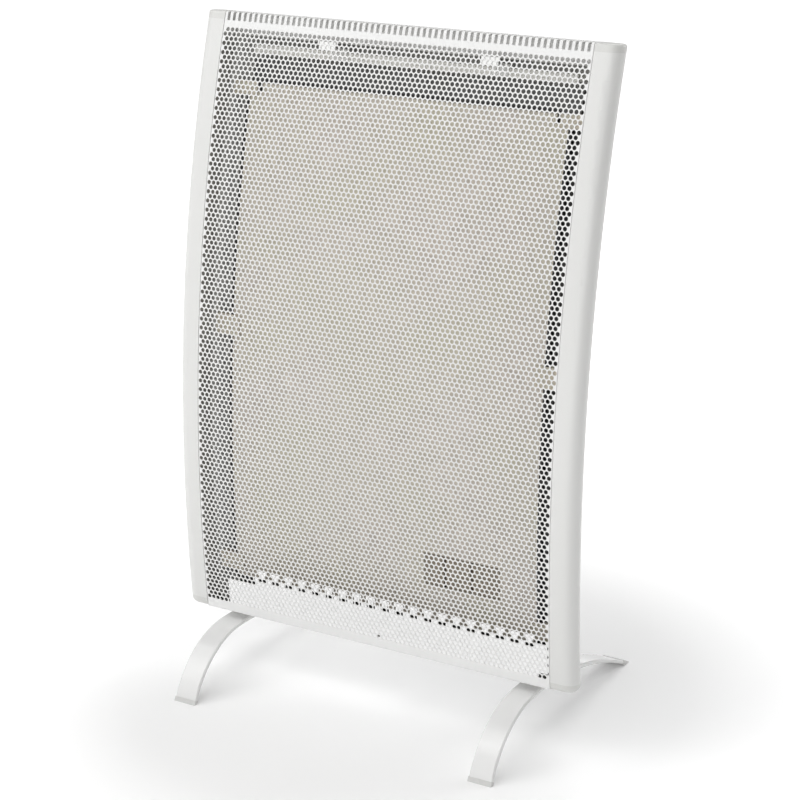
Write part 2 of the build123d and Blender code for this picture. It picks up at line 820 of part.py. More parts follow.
# White shield behind the lowest rows of holes: a step at its left, and teeth along its top over slots
with BuildPart() as lower_shield:
    shield_back = shield_layer + shield_sheet
    bowed_plate(-shield_left, shield_right, shield_layer, shield_back, -base_top, -shield_top)
    bowed_plate(
        -shield_left - overrun,
        -shield_left + shield_step_width,
        shield_layer - overrun,
        shield_back + overrun,
        -shield_top - shield_step_height,
        -shield_top + overrun,
        mode=Mode.SUBTRACT,
    )
    last_tooth = shield_left + shield_right - shield_head_width / 2
    tooth_count = int((last_tooth - shield_first_tooth) / shield_tooth_pitch) + 1
    stem_top = -shield_top + shield_stem_height
    slot_middle = -shield_top - shield_slot_drop
    for tooth in range(tooth_count):
        middle = shield_first_tooth + shield_tooth_pitch * tooth - shield_left
        bowed_plate(
            middle - shield_stem_width / 2,
            middle + shield_stem_width / 2,
            shield_layer,
            shield_back,
            -shield_top,
            stem_top,
        )
        bowed_plate(
            middle - shield_head_width / 2,
            middle + shield_head_width / 2,
            shield_layer,
            shield_back,
            stem_top,
            stem_top + shield_head_height,
        )
        bowed_plate(
            middle - shield_slot_width / 2,
            middle + shield_slot_width / 2,
            shield_layer - overrun,
            shield_back + overrun,
            slot_middle - shield_slot_height / 2,
            slot_middle + shield_slot_height / 2,
            mode=Mode.SUBTRACT,
        )
    for across, rise in (
        (shield_middle_hole_inset - shield_left, shield_middle_hole_rise),
        (shield_right - shield_right_hole_inset, shield_right_hole_rise),
    ):
        hole = facing_front(across, shield_layer, rise - base_top).offset(overrun)
        rod(hole, shield_hole_radius, -shield_sheet - 2 * overrun, mode=Mode.SUBTRACT)
    bowed_plate(
        shield_right - shield_notch_width,
        shield_right + overrun,
        shield_layer - overrun,
        shield_back + overrun,
        shield_notch_rise - base_top,
        shield_notch_rise + shield_notch_height - base_top,
        mode=Mode.SUBTRACT,
    )
lower_shield.part.label = "lower_shield"
export_step(lower_shield.part, "parts/lower_shield.step")

# Rail over the element, open underneath, its screws and the two clips that hold the grille to it
rail_low = rail_middle - rail_height / 2
rail_high = rail_middle + rail_height / 2
with BuildPart() as top_rail:
    bowed_plate(
        -element_half_width, element_half_width, rail_layer, pan_floor_layer, rail_low, rail_high
    )
    bowed_plate(
        -element_half_width - overrun,
        element_half_width + overrun,
        rail_layer + rail_wall,
        pan_floor_layer - rail_wall,
        rail_low - overrun,
        rail_high - rail_wall,
        mode=Mode.SUBTRACT,
    )
    for seat in rail_screw_seats:
        screw_hole(seat, rail_screw_radius, rail_screw_depth)
top_rail.part.label = "top_rail"
export_step(top_rail.part, "parts/top_rail.step")

with BuildPart() as rail_screws:
    for seat in rail_screw_seats:
        grip = rail_screw_depth + thread_tail
        screw(seat, rail_screw_radius, rail_screw_head_radius, rail_screw_head_height, grip)
rail_screws.part.label = "rail_screws"
export_step(rail_screws.part, "parts/rail_screws.step")

with BuildPart() as grille_clips:
    leaf_front = grille_sheet + bow_gap
    leaf_back = leaf_front + clip_sheet
    clip_low = clip_middle - clip_height / 2
    clip_high = clip_middle + clip_height / 2
    for middle in (-clip_left, clip_right):
        left = middle - clip_width / 2
        right = middle + clip_width / 2
        bowed_plate(left, right, leaf_front, leaf_back, clip_low, clip_high)
        bowed_plate(left, right, leaf_front, rail_layer, clip_low, clip_low + clip_sheet)
        bowed_plate(left, right, rail_layer - clip_sheet, rail_layer, rail_low, clip_low + clip_sheet)
grille_clips.part.label = "grille_clips"
export_step(grille_clips.part, "parts/grille_clips.step")

# Heating element: two mica sheets with the flat ribbon between them, in channels on brackets
window_low = -window_middle - window_height / 2
window_high = -window_middle + window_height / 2


def mica_sheet(front_layer, back_layer):
    """A mica sheet between two layers, with its two stepped top corners and its window."""
    with BuildPart() as sheet:
        bowed_plate(
            -element_half_width, element_half_width, front_layer, back_layer, -element_bottom, element_top
        )
        for side, name in sides:
            left, right = sorted(
                (side * (element_half_width - corner_step_across), side * (element_half_width + overrun))
            )
            bowed_plate(
                left,
                right,
                front_layer - overrun,
                back_layer + overrun,
                element_top - corner_step_down,
                element_top + overrun,
                mode=Mode.SUBTRACT,
            )
        bowed_plate(
            window_left,
            window_right,
            front_layer - overrun,
            back_layer + overrun,
            window_low,
            window_high,
            mode=Mode.SUBTRACT,
        )
    return sheet.part


with BuildPart() as mica_front_sheet:
    add(mica_sheet(element_layer, element_layer + mica_thickness))
mica_front_sheet.part.label = "mica_front_sheet"
export_step(mica_front_sheet.part, "parts/mica_front_sheet.step")

with BuildPart() as mica_back_sheet:
    add(mica_sheet(back_mica_layer, element_back_layer))
mica_back_sheet.part.label = "mica_back_sheet"
export_step(mica_back_sheet.part, "parts/mica_back_sheet.step")

ribbon_first = -ribbon_pitch * (ribbon_runs - 1) / 2
ribbon_high = element_top - ribbon_margin
ribbon_low = -element_bottom + ribbon_margin


def ribbon_turn_low(middle):
    """Rise of a lower turn of the ribbon: above the window where the turn would cross it."""
    half_turn = (ribbon_pitch + ribbon_width) / 2
    clear = middle + half_turn < window_left or middle - half_turn > window_right
    return ribbon_low if clear else window_high + ribbon_width


with BuildPart() as heating_ribbon:
    for run in range(ribbon_runs):
        across = ribbon_first + ribbon_pitch * run
        left = across - ribbon_width / 2
        lower_turn = across + (ribbon_pitch / 2 if run % 2 == 0 else -ribbon_pitch / 2)
        low = ribbon_turn_low(lower_turn)
        bowed_plate(left, left + ribbon_width, ribbon_layer, ribbon_back_layer, low, ribbon_high)
        turn_low = low if run % 2 == 0 else ribbon_high - ribbon_width
        if run < ribbon_runs - 1:
            bowed_plate(
                left,
                left + ribbon_pitch + ribbon_width,
                ribbon_layer,
                ribbon_back_layer,
                turn_low,
                turn_low + ribbon_width,
            )
heating_ribbon.part.label = "heating_ribbon"
export_step(heating_ribbon.part, "parts/heating_ribbon.step")

channel_front = element_layer - channel_wall
channel_back = element_back_layer + channel_wall
channel_outer = element_half_width + channel_wall
channel_inner = element_half_width - channel_lip
channel_top = element_top - corner_step_down
for side, name in sides:
    with BuildPart() as channel:
        left, right = sorted((side * channel_inner, side * channel_outer))
        bowed_plate(left, right, channel_front, channel_back, -element_bottom, channel_top)
        left, right = sorted((side * (channel_inner - overrun), side * element_half_width))
        bowed_plate(
            left,
            right,
            element_layer,
            element_back_layer,
            -element_bottom - overrun,
            channel_top + overrun,
            mode=Mode.SUBTRACT,
        )
    channel.part.label = f"{name}_element_channel"
    export_step(channel.part, f"parts/{name}_element_channel.step")

top_bar_half_width = element_half_width - corner_step_across
with BuildPart() as element_top_bar:
    bowed_plate(
        -top_bar_half_width,
        top_bar_half_width,
        channel_front,
        channel_back,
        element_top - channel_lip,
        element_top + channel_wall,
    )
    bowed_plate(
        -top_bar_half_width - overrun,
        top_bar_half_width + overrun,
        element_layer,
        element_back_layer,
        element_top - channel_lip - overrun,
        element_top,
        mode=Mode.SUBTRACT,
    )
element_top_bar.part.label = "element_top_bar"
export_step(element_top_bar.part, "parts/element_top_bar.step")

bottom_bar_half_width = channel_inner - seat_gap
with BuildPart() as element_bottom_bar:
    bowed_plate(
        -bottom_bar_half_width,
        bottom_bar_half_width,
        channel_front,
        channel_back,
        -element_bottom - channel_wall,
        -element_bottom + channel_lip,
    )
    bowed_plate(
        -bottom_bar_half_width - overrun,
        bottom_bar_half_width + overrun,
        element_layer,
        element_back_layer,
        -element_bottom,
        -element_bottom + channel_lip + overrun,
        mode=Mode.SUBTRACT,
    )
element_bottom_bar.part.label = "element_bottom_bar"
export_step(element_bottom_bar.part, "parts/element_bottom_bar.step")

bracket_inner = element_half_width - bracket_lap
bracket_spans = (
    (bracket_bottom_gap - element_bottom, bracket_bottom_height),
    (-bracket_middle_drop - bracket_middle_height / 2, bracket_middle_height),
    (channel_top - bracket_top_lap, bracket_top_height),
)
with BuildPart() as element_brackets:
    for side, name in sides:
        for low, height in bracket_spans:
            left, right = sorted((side * channel_outer, side * pan_inner))
            bowed_plate(left, right, channel_front, channel_back + bracket_depth, low, low + height)
            left, right = sorted((side * bracket_inner, side * pan_inner))
            bowed_plate(left, right, channel_front - channel_wall, channel_front, low, low + height)
element_brackets.part.label = "element_brackets"
export_step(element_brackets.part, "parts/element_brackets.step")

# Terminal block in the window, with its slots
with BuildPart() as terminal_block:
    block_left = window_left + window_margin
    block_low = window_low + window_margin
    block_high = window_high - window_margin
    bowed_plate(
        block_left, window_right - window_margin, block_front_layer, reflector_layer, block_low, block_high
    )
    for slot in range(block_slot_count):
        left = window_left + block_first_slot + block_slot_pitch * slot - block_slot_width / 2
        bowed_plate(
            left,
            left + block_slot_width,
            block_front_layer - overrun,
            block_front_layer + block_slot_depth,
            block_low - overrun,
            block_high + overrun,
            mode=Mode.SUBTRACT,
        )
terminal_block.part.label = "terminal_block"
export_step(terminal_block.part, "parts/terminal_block.step")

# Leads: down from the block, then square through the reflector and the pan into the control box
lead_run = pan_layer - lead_layer + lead_tail


with BuildPart() as lead_wires:
    for lead in range(lead_count):
        across = lead_across + lead_pitch * lead
        corner = lead_corner(across)
        start = on_bow(across, lead_layer, block_low - bow_gap).origin
        with BuildLine() as route:
            FilletPolyline(start, corner.origin, corner.origin + corner.z_dir * lead_run, radius=lead_bend)
        with BuildSketch(Plane(origin=start, x_dir=(1, 0, 0), z_dir=route.line % 0)) as lead_section:
            Circle(lead_radius)
        sweep(lead_section.sketch, path=route.line)
lead_wires.part.label = "lead_wires"
export_step(lead_wires.part, "parts/lead_wires.step")


def lead_holes(start, length):
    """Cut both leads' holes from a distance behind their bends."""
    for lead in range(lead_count):
        hole = lead_corner(lead_across + lead_pitch * lead).offset(start)
        rod(hole, lead_radius + lead_hole_gap, length, mode=Mode.SUBTRACT)


grommet_start = pan_distance - pan_wall - seat_gap - grommet_lip
grommet_length = pan_wall + 2 * (seat_gap + grommet_lip)
with BuildPart() as lead_grommet:
    grommet_plane = lead_corner(lead_middle).offset(grommet_start)
    rod(grommet_plane, grommet_neck, grommet_length)
    rod(grommet_plane, grommet_radius, grommet_lip)
    rod(grommet_plane.offset(grommet_length), grommet_radius, -grommet_lip)
    lead_holes(grommet_start - overrun, grommet_length + 2 * overrun)
lead_grommet.part.label = "lead_grommet"
export_step(lead_grommet.part, "parts/lead_grommet.step")

# Reflector behind the element: a shallow tray, open to the back
reflector_back = reflector_layer + reflector_sheet
with BuildPart() as reflector:
    bowed_plate(
        -reflector_half_width,
        reflector_half_width,
        reflector_layer,
        pan_floor_layer,
        -reflector_bottom,
        reflector_top,
    )
    bowed_plate(
        -reflector_half_width + reflector_sheet,
        reflector_half_width - reflector_sheet,
        reflector_back,
        pan_layer,
        -reflector_bottom + reflector_sheet,
        reflector_top - reflector_sheet,
        mode=Mode.SUBTRACT,
    )
    lead_holes(reflector_layer - lead_layer - overrun, reflector_sheet + 2 * overrun)
reflector.part.label = "reflector"
export_step(reflector.part, "parts/reflector.step")

# Thermal cut-out: a disc in a flat holder on the reflector
with BuildPart() as thermal_cutout:
    holder_layer = reflector_layer - cutout_flange_sheet
    bowed_plate(
        cutout_across - cutout_flange_length / 2,
        cutout_across + cutout_flange_length / 2,
        holder_layer,
        reflector_layer,
        -cutout_drop - cutout_flange_width / 2,
        -cutout_drop + cutout_flange_width / 2,
    )
    disc = facing_front(cutout_across, holder_layer + cutout_flange_sheet / 2, -cutout_drop)
    rod(disc, cutout_radius, cutout_height)
thermal_cutout.part.label = "thermal_cutout"
export_step(thermal_cutout.part, "parts/thermal_cutout.step")

# Control box: a moulded shell that closes on the pan, with three screw ears
wall_face = box_back - box_wall


def on_box(across, depth, rise):
    """Plane facing back at a place on the control box: its X runs left and its Y up."""
    return leaning(Plane(origin=(across, depth, rise), x_dir=(-1, 0, 0), z_dir=(0, 1, 0)))


def box_body(left, right, front_layer, back, low, high, mode=Mode.ADD):
    """Add or cut a block whose front follows the bow and whose back is flat."""
    with BuildSketch(seen_from_side(left)) as section:
        with BuildLine():
            low_corner = (bow_depth(front_layer, low), low)
            high_corner = (bow_depth(front_layer, high), high)
            middle = (low + high) / 2
            ThreePointArc(low_corner, (bow_depth(front_layer, middle), middle), high_corner)
            Polyline(high_corner, (back, high), (back, low), low_corner)
        make_face()
    extrude(section.sketch, amount=right - left, mode=mode)


def control_openings(start, length):
    """Cut what the controls and the lamp need, through the wall or the fascia."""
    rod(
        on_box(knob_across, start, -controls_drop),
        thermostat_bush_radius + shaft_hole_gap,
        length,
        mode=Mode.SUBTRACT,
    )
    rod(on_box(lamp_across, start, -lamp_drop), lamp_radius + lamp_fit, length, mode=Mode.SUBTRACT)
    for switch in range(switch_count):
        across = switch_first + switch_pitch * switch
        with BuildSketch(on_box(across, start, -controls_drop)) as window:
            Rectangle(switch_body_width + 2 * switch_fit, switch_body_height + 2 * switch_fit)
        extrude(window.sketch, amount=length, mode=Mode.SUBTRACT)


with BuildPart() as control_box:
    box_body(box_left, box_right, pan_layer, box_back, -box_bottom, -box_top)
    back_face = control_box.faces().sort_by(Axis(body.origin, body.y_dir))[-1]
    fillet(back_face.edges(), box_round)
    box_body(
        box_left + box_wall,
        box_right - box_wall,
        pan_layer - overrun,
        wall_face,
        -box_bottom + box_wall,
        -box_top - box_wall,
        mode=Mode.SUBTRACT,
    )
    for across, rise in box_screw_places:
        bowed_plate(
            across - box_ear_width / 2,
            across + box_ear_width / 2,
            pan_layer,
            pan_layer + box_ear_thickness,
            rise - box_ear_reach / 2,
            rise + box_ear_reach / 2,
        )
    for seat in box_screw_seats:
        screw_hole(seat, box_screw_radius, box_screw_depth)
    control_openings(wall_face - overrun, box_wall + 2 * overrun)
    rod(
        on_box(gland_across, wall_face - overrun, -gland_drop),
        gland_radius + screw_fit,
        box_wall + 2 * overrun,
        mode=Mode.SUBTRACT,
    )
control_box.part.label = "control_box"
export_step(control_box.part, "parts/control_box.step")

with BuildPart() as control_fascia:
    fascia_middle = (fascia_left + fascia_right) / 2
    with BuildSketch(on_box(fascia_middle, box_back, -(fascia_top + fascia_bottom) / 2)):
        RectangleRounded(fascia_right - fascia_left, fascia_bottom - fascia_top, fascia_round)
    extrude(amount=fascia_thickness)
    control_openings(box_back - overrun, fascia_thickness + 2 * overrun)
control_fascia.part.label = "control_fascia"
export_step(control_fascia.part, "parts/control_fascia.step")

# Thermostat behind the wall, its shaft and its knob
with BuildPart() as thermostat:
    block(
        knob_across - thermostat_width / 2,
        knob_across + thermostat_width / 2,
        wall_face - thermostat_depth,
        wall_face,
        -controls_drop - thermostat_height / 2,
        -controls_drop + thermostat_height / 2,
    )
    rod(on_box(knob_across, wall_face, -controls_drop), thermostat_bush_radius, box_wall + fascia_thickness)
    rod(
        on_box(knob_across, fascia_face + overrun, -controls_drop),
        shaft_radius + shaft_fit,
        -(fascia_face + overrun - wall_face + shaft_inside),
        mode=Mode.SUBTRACT,
    )
thermostat.part.label = "thermostat"
export_step(thermostat.part, "parts/thermostat.step")

knob_base = fascia_face + knob_gap
shaft_start = wall_face - shaft_inside + bow_gap
shaft_end = knob_base + shaft_bore_depth - seat_gap
with BuildPart() as thermostat_shaft:
    rod(on_box(knob_across, shaft_start, -controls_drop), shaft_radius, shaft_end - shaft_start)
thermostat_shaft.part.label = "thermostat_shaft"
export_step(thermostat_shaft.part, "parts/thermostat_shaft.step")

with BuildPart() as thermostat_knob:
    rod(on_box(knob_across, knob_base, -controls_drop), knob_radius + knob_skirt_width, knob_skirt_height)
    rod(on_box(knob_across, knob_base, -controls_drop), knob_radius, knob_height)
    with BuildSketch(on_box(knob_across, knob_base, -controls_drop)):
        with PolarLocations(knob_radius, knob_rib_count):
            Circle(knob_rib_radius)
    extrude(amount=knob_height - knob_rib_radius)
    with BuildSketch(on_box(knob_across, knob_base + knob_height, -controls_drop)):
        with Locations((0, knob_radius - knob_pointer_length / 2)):
            Rectangle(knob_pointer_width, knob_pointer_length)
    extrude(amount=-knob_pointer_depth, mode=Mode.SUBTRACT)
    rod(
        on_box(knob_across, knob_base - overrun, -controls_drop),
        shaft_radius + shaft_fit,
        shaft_bore_depth + overrun,
        mode=Mode.SUBTRACT,
    )
thermostat_knob.part.label = "thermostat_knob"
export_step(thermostat_knob.part, "parts/thermostat_knob.step")

# Rocker switches: a housing with a bezel, and a rocker that turns on two short pins in its sides
bezel_face = fascia_face + switch_bezel_thickness
pivot_depth = bezel_face - rocker_thickness / 2
well_half_width = rocker_width / 2 + rocker_side_gap
for switch, name in enumerate(("low_heat", "high_heat")):
    across = switch_first + switch_pitch * switch
    with BuildPart() as housing:
        with BuildSketch(on_box(across, fascia_face, -controls_drop)):
            Rectangle(
                switch_body_width + 2 * switch_bezel_border, switch_body_height + 2 * switch_bezel_border
            )
        extrude(amount=switch_bezel_thickness)
        with BuildSketch(on_box(across, fascia_face, -controls_drop)):
            Rectangle(switch_body_width, switch_body_height)
        extrude(amount=-switch_body_depth)
        with BuildSketch(on_box(across, bezel_face, -controls_drop)):
            Rectangle(2 * well_half_width, rocker_height + 2 * rocker_end_gap)
        extrude(amount=-rocker_well_depth, mode=Mode.SUBTRACT)
        pivot_side = leaning(Plane.YZ.offset(across - well_half_width - trunnion_length - trunnion_fit))
        with BuildSketch(pivot_side):
            with Locations((pivot_depth, -controls_drop)):
                Circle(trunnion_radius + trunnion_fit)
        extrude(amount=2 * (well_half_width + trunnion_length + trunnion_fit), mode=Mode.SUBTRACT)
    housing.part.label = f"{name}_switch_housing"
    export_step(housing.part, f"parts/{name}_switch_housing.step")

    tilt = radians(-rocker_angle)
    rocker_side = leaning(
        Plane(
            origin=(across - rocker_width / 2, pivot_depth, -controls_drop),
            x_dir=(0, cos(tilt), sin(tilt)),
            z_dir=(1, 0, 0),
        )
    )
    with BuildPart() as rocker:
        half_rocker = rocker_height / 2
        half_thickness = rocker_thickness / 2
        with BuildSketch(rocker_side):
            with BuildLine():
                Polyline(
                    (-half_thickness, -half_rocker),
                    (half_thickness, -half_rocker),
                    (half_thickness - rocker_rise, 0),
                    (half_thickness, half_rocker),
                    (-half_thickness, half_rocker),
                    close=True,
                )
            make_face()
        extrude(amount=rocker_width)
        with BuildSketch(rocker_side.offset(-rocker_side_gap - trunnion_length)):
            Circle(trunnion_radius)
        extrude(amount=rocker_width + 2 * (rocker_side_gap + trunnion_length))
    rocker.part.label = f"{name}_rocker"
    export_step(rocker.part, f"parts/{name}_rocker.step")

# Indicator lamp
with BuildPart() as indicator_lamp:
    rod(on_box(lamp_across, fascia_face, -lamp_drop), lamp_radius + lamp_flange_width, lamp_flange_height)
    rod(on_box(lamp_across, fascia_face, -lamp_drop), lamp_radius, lamp_flange_height + lamp_height)
    dome = indicator_lamp.edges().filter_by(GeomType.CIRCLE).sort_by(Axis(body.origin, body.y_dir))[-1]
    fillet(dome, lamp_height / 2)
    rod(on_box(lamp_across, fascia_face, -lamp_drop), lamp_radius, -lamp_body_length)
indicator_lamp.part.label = "indicator_lamp"
export_step(indicator_lamp.part, "parts/indicator_lamp.step")

# Tip-over switch: a pendulum that hangs plumb from a pin in a bracket on the box's floor
box_floor = -box_bottom + box_wall
tip_pin_depth = wall_face - tip_pin_setback
tip_pin_rise = box_floor + tip_pin_height
with BuildPart() as tip_switch_bracket:
    tip_front = tip_pin_depth - tip_length / 2
    tip_back = tip_pin_depth + tip_length / 2
    tip_right = tip_across + tip_width
    tip_high = tip_pin_rise + tip_wall_top
    block(tip_across, tip_right, tip_front, tip_back, box_floor, box_floor + tip_wall)
    block(tip_across - tip_wall, tip_across, tip_front, tip_back, box_floor, tip_high)
    block(tip_right, tip_right + tip_wall, tip_front, tip_back, box_floor, tip_high)
    with BuildSketch(seen_from_side(tip_across - tip_wall)):
        with Locations((tip_pin_depth, tip_pin_rise)):
            Circle(tip_pin_radius + tip_fit)
    extrude(amount=tip_width + 2 * tip_wall, mode=Mode.SUBTRACT)
tip_switch_bracket.part.label = "tip_switch_bracket"
export_step(tip_switch_bracket.part, "parts/tip_switch_bracket.step")

with BuildPart() as tip_switch_pin:
    with BuildSketch(seen_from_side(tip_across - tip_wall)):
        with Locations((tip_pin_depth, tip_pin_rise)):
            Circle(tip_pin_radius)
    extrude(amount=tip_width + 2 * tip_wall)
tip_switch_pin.part.label = "tip_switch_pin"
export_step(tip_switch_pin.part, "parts/tip_switch_pin.step")

tip_pin_middle = body.from_local_coords((tip_across + tip_width / 2, tip_pin_depth, tip_pin_rise))
hanging = Plane(origin=tip_pin_middle, x_dir=(0, 1, 0), z_dir=(1, 0, 0))
with BuildPart() as tip_switch_pendulum:
    eye_half_width = tip_width / 2 - tip_side_gap
    with BuildSketch(hanging.offset(-eye_half_width)):
        Circle(tip_eye_radius)
    extrude(amount=2 * eye_half_width)
    with BuildSketch(Plane(origin=tip_pin_middle, x_dir=(1, 0, 0), z_dir=(0, 0, -1))):
        Circle(tip_rod_radius)
    extrude(amount=tip_hang)
    with BuildSketch(hanging.offset(-tip_bob_length / 2)):
        with Locations((0, -tip_hang)):
            Circle(tip_bob_radius)
    extrude(amount=tip_bob_length)
    with BuildSketch(hanging.offset(-eye_half_width - overrun)):
        Circle(tip_pin_radius + tip_fit)
    extrude(amount=2 * (eye_half_width + overrun), mode=Mode.SUBTRACT)
tip_switch_pendulum.part.label = "tip_switch_pendulum"
export_step(tip_switch_pendulum.part, "parts/tip_switch_pendulum.step")

# Cord gland in the box's back wall
with BuildPart() as cord_gland:
    rod(on_box(gland_across, box_back, -gland_drop), gland_flange_radius, gland_flange)
    rod(on_box(gland_across, box_back, -gland_drop), gland_radius, -gland_length)
    rod(
        on_box(gland_across, box_back + gland_flange + overrun, -gland_drop),
        gland_bore_radius,
        -(gland_flange + gland_length + 2 * overrun),
        mode=Mode.SUBTRACT,
    )
cord_gland.part.label = "cord_gland"
export_step(cord_gland.part, "parts/cord_gland.step")

# Carrying handle across the back
handle_face = bow_depth(pan_layer + handle_foot_thickness / 2, handle_rise)
handle_back = bow_depth(pan_layer, handle_rise) + handle_standoff
with BuildPart() as carry_handle:
    with BuildLine(seen_from_top(handle_rise)) as handle_route:
        FilletPolyline(
            (-handle_span / 2, handle_face),
            (-handle_span / 2, handle_back),
            (handle_span / 2, handle_back),
            (handle_span / 2, handle_face),
            radius=handle_bend,
        )
    start = body.from_local_coords((-handle_span / 2, handle_face, handle_rise))
    with BuildSketch(Plane(origin=start, x_dir=(1, 0, 0), z_dir=body.y_dir)) as handle_section:
        RectangleRounded(handle_thickness, handle_bar_height, handle_section_round)
    sweep(handle_section.sketch, path=handle_route.line)
    for side, name in sides:
        left, right = sorted((side * handle_foot_inner, side * handle_foot_outer))
        bowed_plate(
            left,
            right,
            pan_layer,
            pan_layer + handle_foot_thickness,
            handle_rise - handle_foot_height / 2,
            handle_rise + handle_foot_height / 2,
        )
    for seat in handle_screw_seats:
        screw_hole(seat, handle_screw_radius, handle_screw_depth)
carry_handle.part.label = "carry_handle"
export_step(carry_handle.part, "parts/carry_handle.step")

# Screws of the cover, the handle and the control box
with BuildPart() as post_screws:
    for seat in post_screw_seats:
        grip = post_screw_depth + thread_tail
        screw(seat, post_screw_radius, post_screw_head_radius, post_screw_head_height, grip)
post_screws.part.label = "post_screws"
export_step(post_screws.part, "parts/post_screws.step")

with BuildPart() as handle_screws:
    for seat in handle_screw_seats:
        grip = handle_screw_depth + thread_tail
        screw(seat, handle_screw_radius, handle_screw_head_radius, handle_screw_head_height, grip)
handle_screws.part.label = "handle_screws"
export_step(handle_screws.part, "parts/handle_screws.step")

with BuildPart() as box_screws:
    for seat in box_screw_seats:
        grip = box_screw_depth + thread_tail
        screw(seat, box_screw_radius, box_screw_head_radius, box_screw_head_height, grip)
box_screws.part.label = "box_screws"
export_step(box_screws.part, "parts/box_screws.step")
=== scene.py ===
from math import cos, radians, sin

import bpy
import numpy as np
from bpy.props import FloatProperty, FloatVectorProperty, IntProperty, PointerProperty
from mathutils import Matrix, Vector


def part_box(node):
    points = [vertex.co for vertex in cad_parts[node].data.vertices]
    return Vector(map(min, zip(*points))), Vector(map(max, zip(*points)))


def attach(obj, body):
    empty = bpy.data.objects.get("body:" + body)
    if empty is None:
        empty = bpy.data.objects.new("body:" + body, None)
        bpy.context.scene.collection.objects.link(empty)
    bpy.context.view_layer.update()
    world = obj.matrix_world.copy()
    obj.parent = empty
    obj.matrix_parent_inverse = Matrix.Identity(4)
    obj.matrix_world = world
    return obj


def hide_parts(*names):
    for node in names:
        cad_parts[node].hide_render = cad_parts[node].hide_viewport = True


bl_info = {
    "name": "Mica Panel Heater",
    "version": (1, 0, 0),
    "blender": (4, 5, 0),
    "location": "3D View > Sidebar > Heater",
    "description": "Gives a mica panel heater its fine front sheet and its finishes",
    "category": "Object",
}

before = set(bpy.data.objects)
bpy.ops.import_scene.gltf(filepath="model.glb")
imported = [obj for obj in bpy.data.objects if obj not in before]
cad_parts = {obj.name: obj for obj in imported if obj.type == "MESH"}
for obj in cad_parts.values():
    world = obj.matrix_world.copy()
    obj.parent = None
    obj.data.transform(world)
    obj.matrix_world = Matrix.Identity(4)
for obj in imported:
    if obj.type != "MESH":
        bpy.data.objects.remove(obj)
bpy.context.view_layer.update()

MM = 0.001
# Points of a flat pattern that lie nearer than this are one point
WELD = 0.01 * MM
# Least inside radius of a bend
LEAST_BEND = 0.05 * MM
# Points round the bends along the top and bottom, and along the sides
BEND_POINTS = 7
SIDE_BEND_POINTS = 5
# Places along the front's arc where the sides of the sheet have points
SIDE_STATIONS = 81
# Points round each hole
SPOKES = 12
# Outline of the notch beside a row that ends half a pitch in, from its top to its bottom, in half
# pitches across and half cell reaches along, and the faces that fill it
NOTCH_SHARES = np.array([(1, 2), (0.5, 1.5), (0, 1), (0, 0), (0, -1), (0.5, -1.5), (1, -2)], float)
NOTCH_FACES = ((0, 6, 5, 1), (1, 5, 3), (1, 3, 2), (5, 4, 3))
# Part of a noise pattern that is drawn out, and the whole of a pattern
MIDDLE = (0.3, 0.7)
WHOLE = (0.0, 1.0)
# Widths of patterns, in millimetres: how far the tone of sprayed paint drifts, clouds and peel in
# paint that is thinner, how resin flows in a mould, patches of dust on zinc, flakes of mica, whole
# and broken, areas where its resin has aged, and fibres of paper
HAND_WIDTH = 130.0
PAINT_CLOUD = 60.0
THIN_PEEL = 2.0
RESIN_FLOW = 40.0
DUST_PATCH = 25.0
FLAKE_WIDTH = 12.0
BROKEN_FLAKE = 2.2
AGED_AREA = 70.0
PAPER_FIBRE = 8.0
# Scale of a pattern up the sheet that draws its spots out into rolling lines
DRAWN_OUT = (1.0, 1.0, 0.02)
# Turn of a sleeve's strands, in radians, and the radians that a wave texture runs through in a unit
STRAND_TURN = 0.8
WAVE_RADIANS = 20
AGED_RESIN = "#CDC9B4"
BRIGHT_FLECK = "#CFC7BA"
# A face looks sideways where its normal has more than this across
SIDEWAYS = 0.7
# Heights over which inner faces above the top rows of holes turn paler, as painted light
PAINTED_LIGHT_RISE = (680 * MM, 692 * MM)
# Lamps: size in metres, degrees round from the front towards the right, degrees over the floor
LAMPS = {
    "key": (2.0, -39.0, 32.0),
    "front": (2.0, 8.0, 16.0),
    "over": (2.0, -10.0, 60.0),
    "side": (2.0, -62.0, 45.0),
    "fill": (1.2, 141.0, 20.0),
    "back": (2.0, 180.0, 55.0),
}
# How far off each lamp hangs and what it looks at, and how far the floor goes, in metres
LAMP_REACH = 3.0
LAMP_AIM = np.array([0.0, 0.0, 0.38])
FLOOR_REACH = 30.0
# Distances in metres from the middle of the floor between which its glow rises
GLOW_REACH = (0.3, 0.9)
WHITE = (1.0, 1.0, 1.0, 1.0)
# Where the camera stands, in metres, how it is turned, in degrees, and its sensor, in millimetres
CAMERA_PLACE = (1.048762, -1.814869, 1.025539)
CAMERA_TURN = (71.429, 0.158, 30.118)
SENSOR_WIDTH = 36.0


def linear(hexa):
    """The linear colour, with an alpha of one, of an sRGB hex value."""
    value = np.array([int(hexa[i : i + 2], 16) for i in (1, 3, 5)]) / 255
    curve = np.where(value <= 0.04045, value / 12.92, ((value + 0.055) / 1.055) ** 2.4)
    return (*curve.tolist(), 1.0)


def length(label, words, value):
    """A length property that a user may change, given in millimetres and kept in metres."""
    return FloatProperty(
        name=label, description=words, default=value * MM, min=0.0, unit="LENGTH", precision=5
    )


def whole_number(label, words, value, least):
    """A count property that a user may change."""
    return IntProperty(name=label, description=words, default=value, min=least)


def number(label, words, value, **more):
    """A plain number property that a user may change."""
    return FloatProperty(name=label, description=words, default=value, **more)


def colour(label, words, hexa):
    """A colour property that a user may change."""
    return FloatVectorProperty(
        name=label,
        description=words,
        default=linear(hexa),
        size=4,
        min=0.0,
        max=1.0,
        subtype="COLOR",
    )


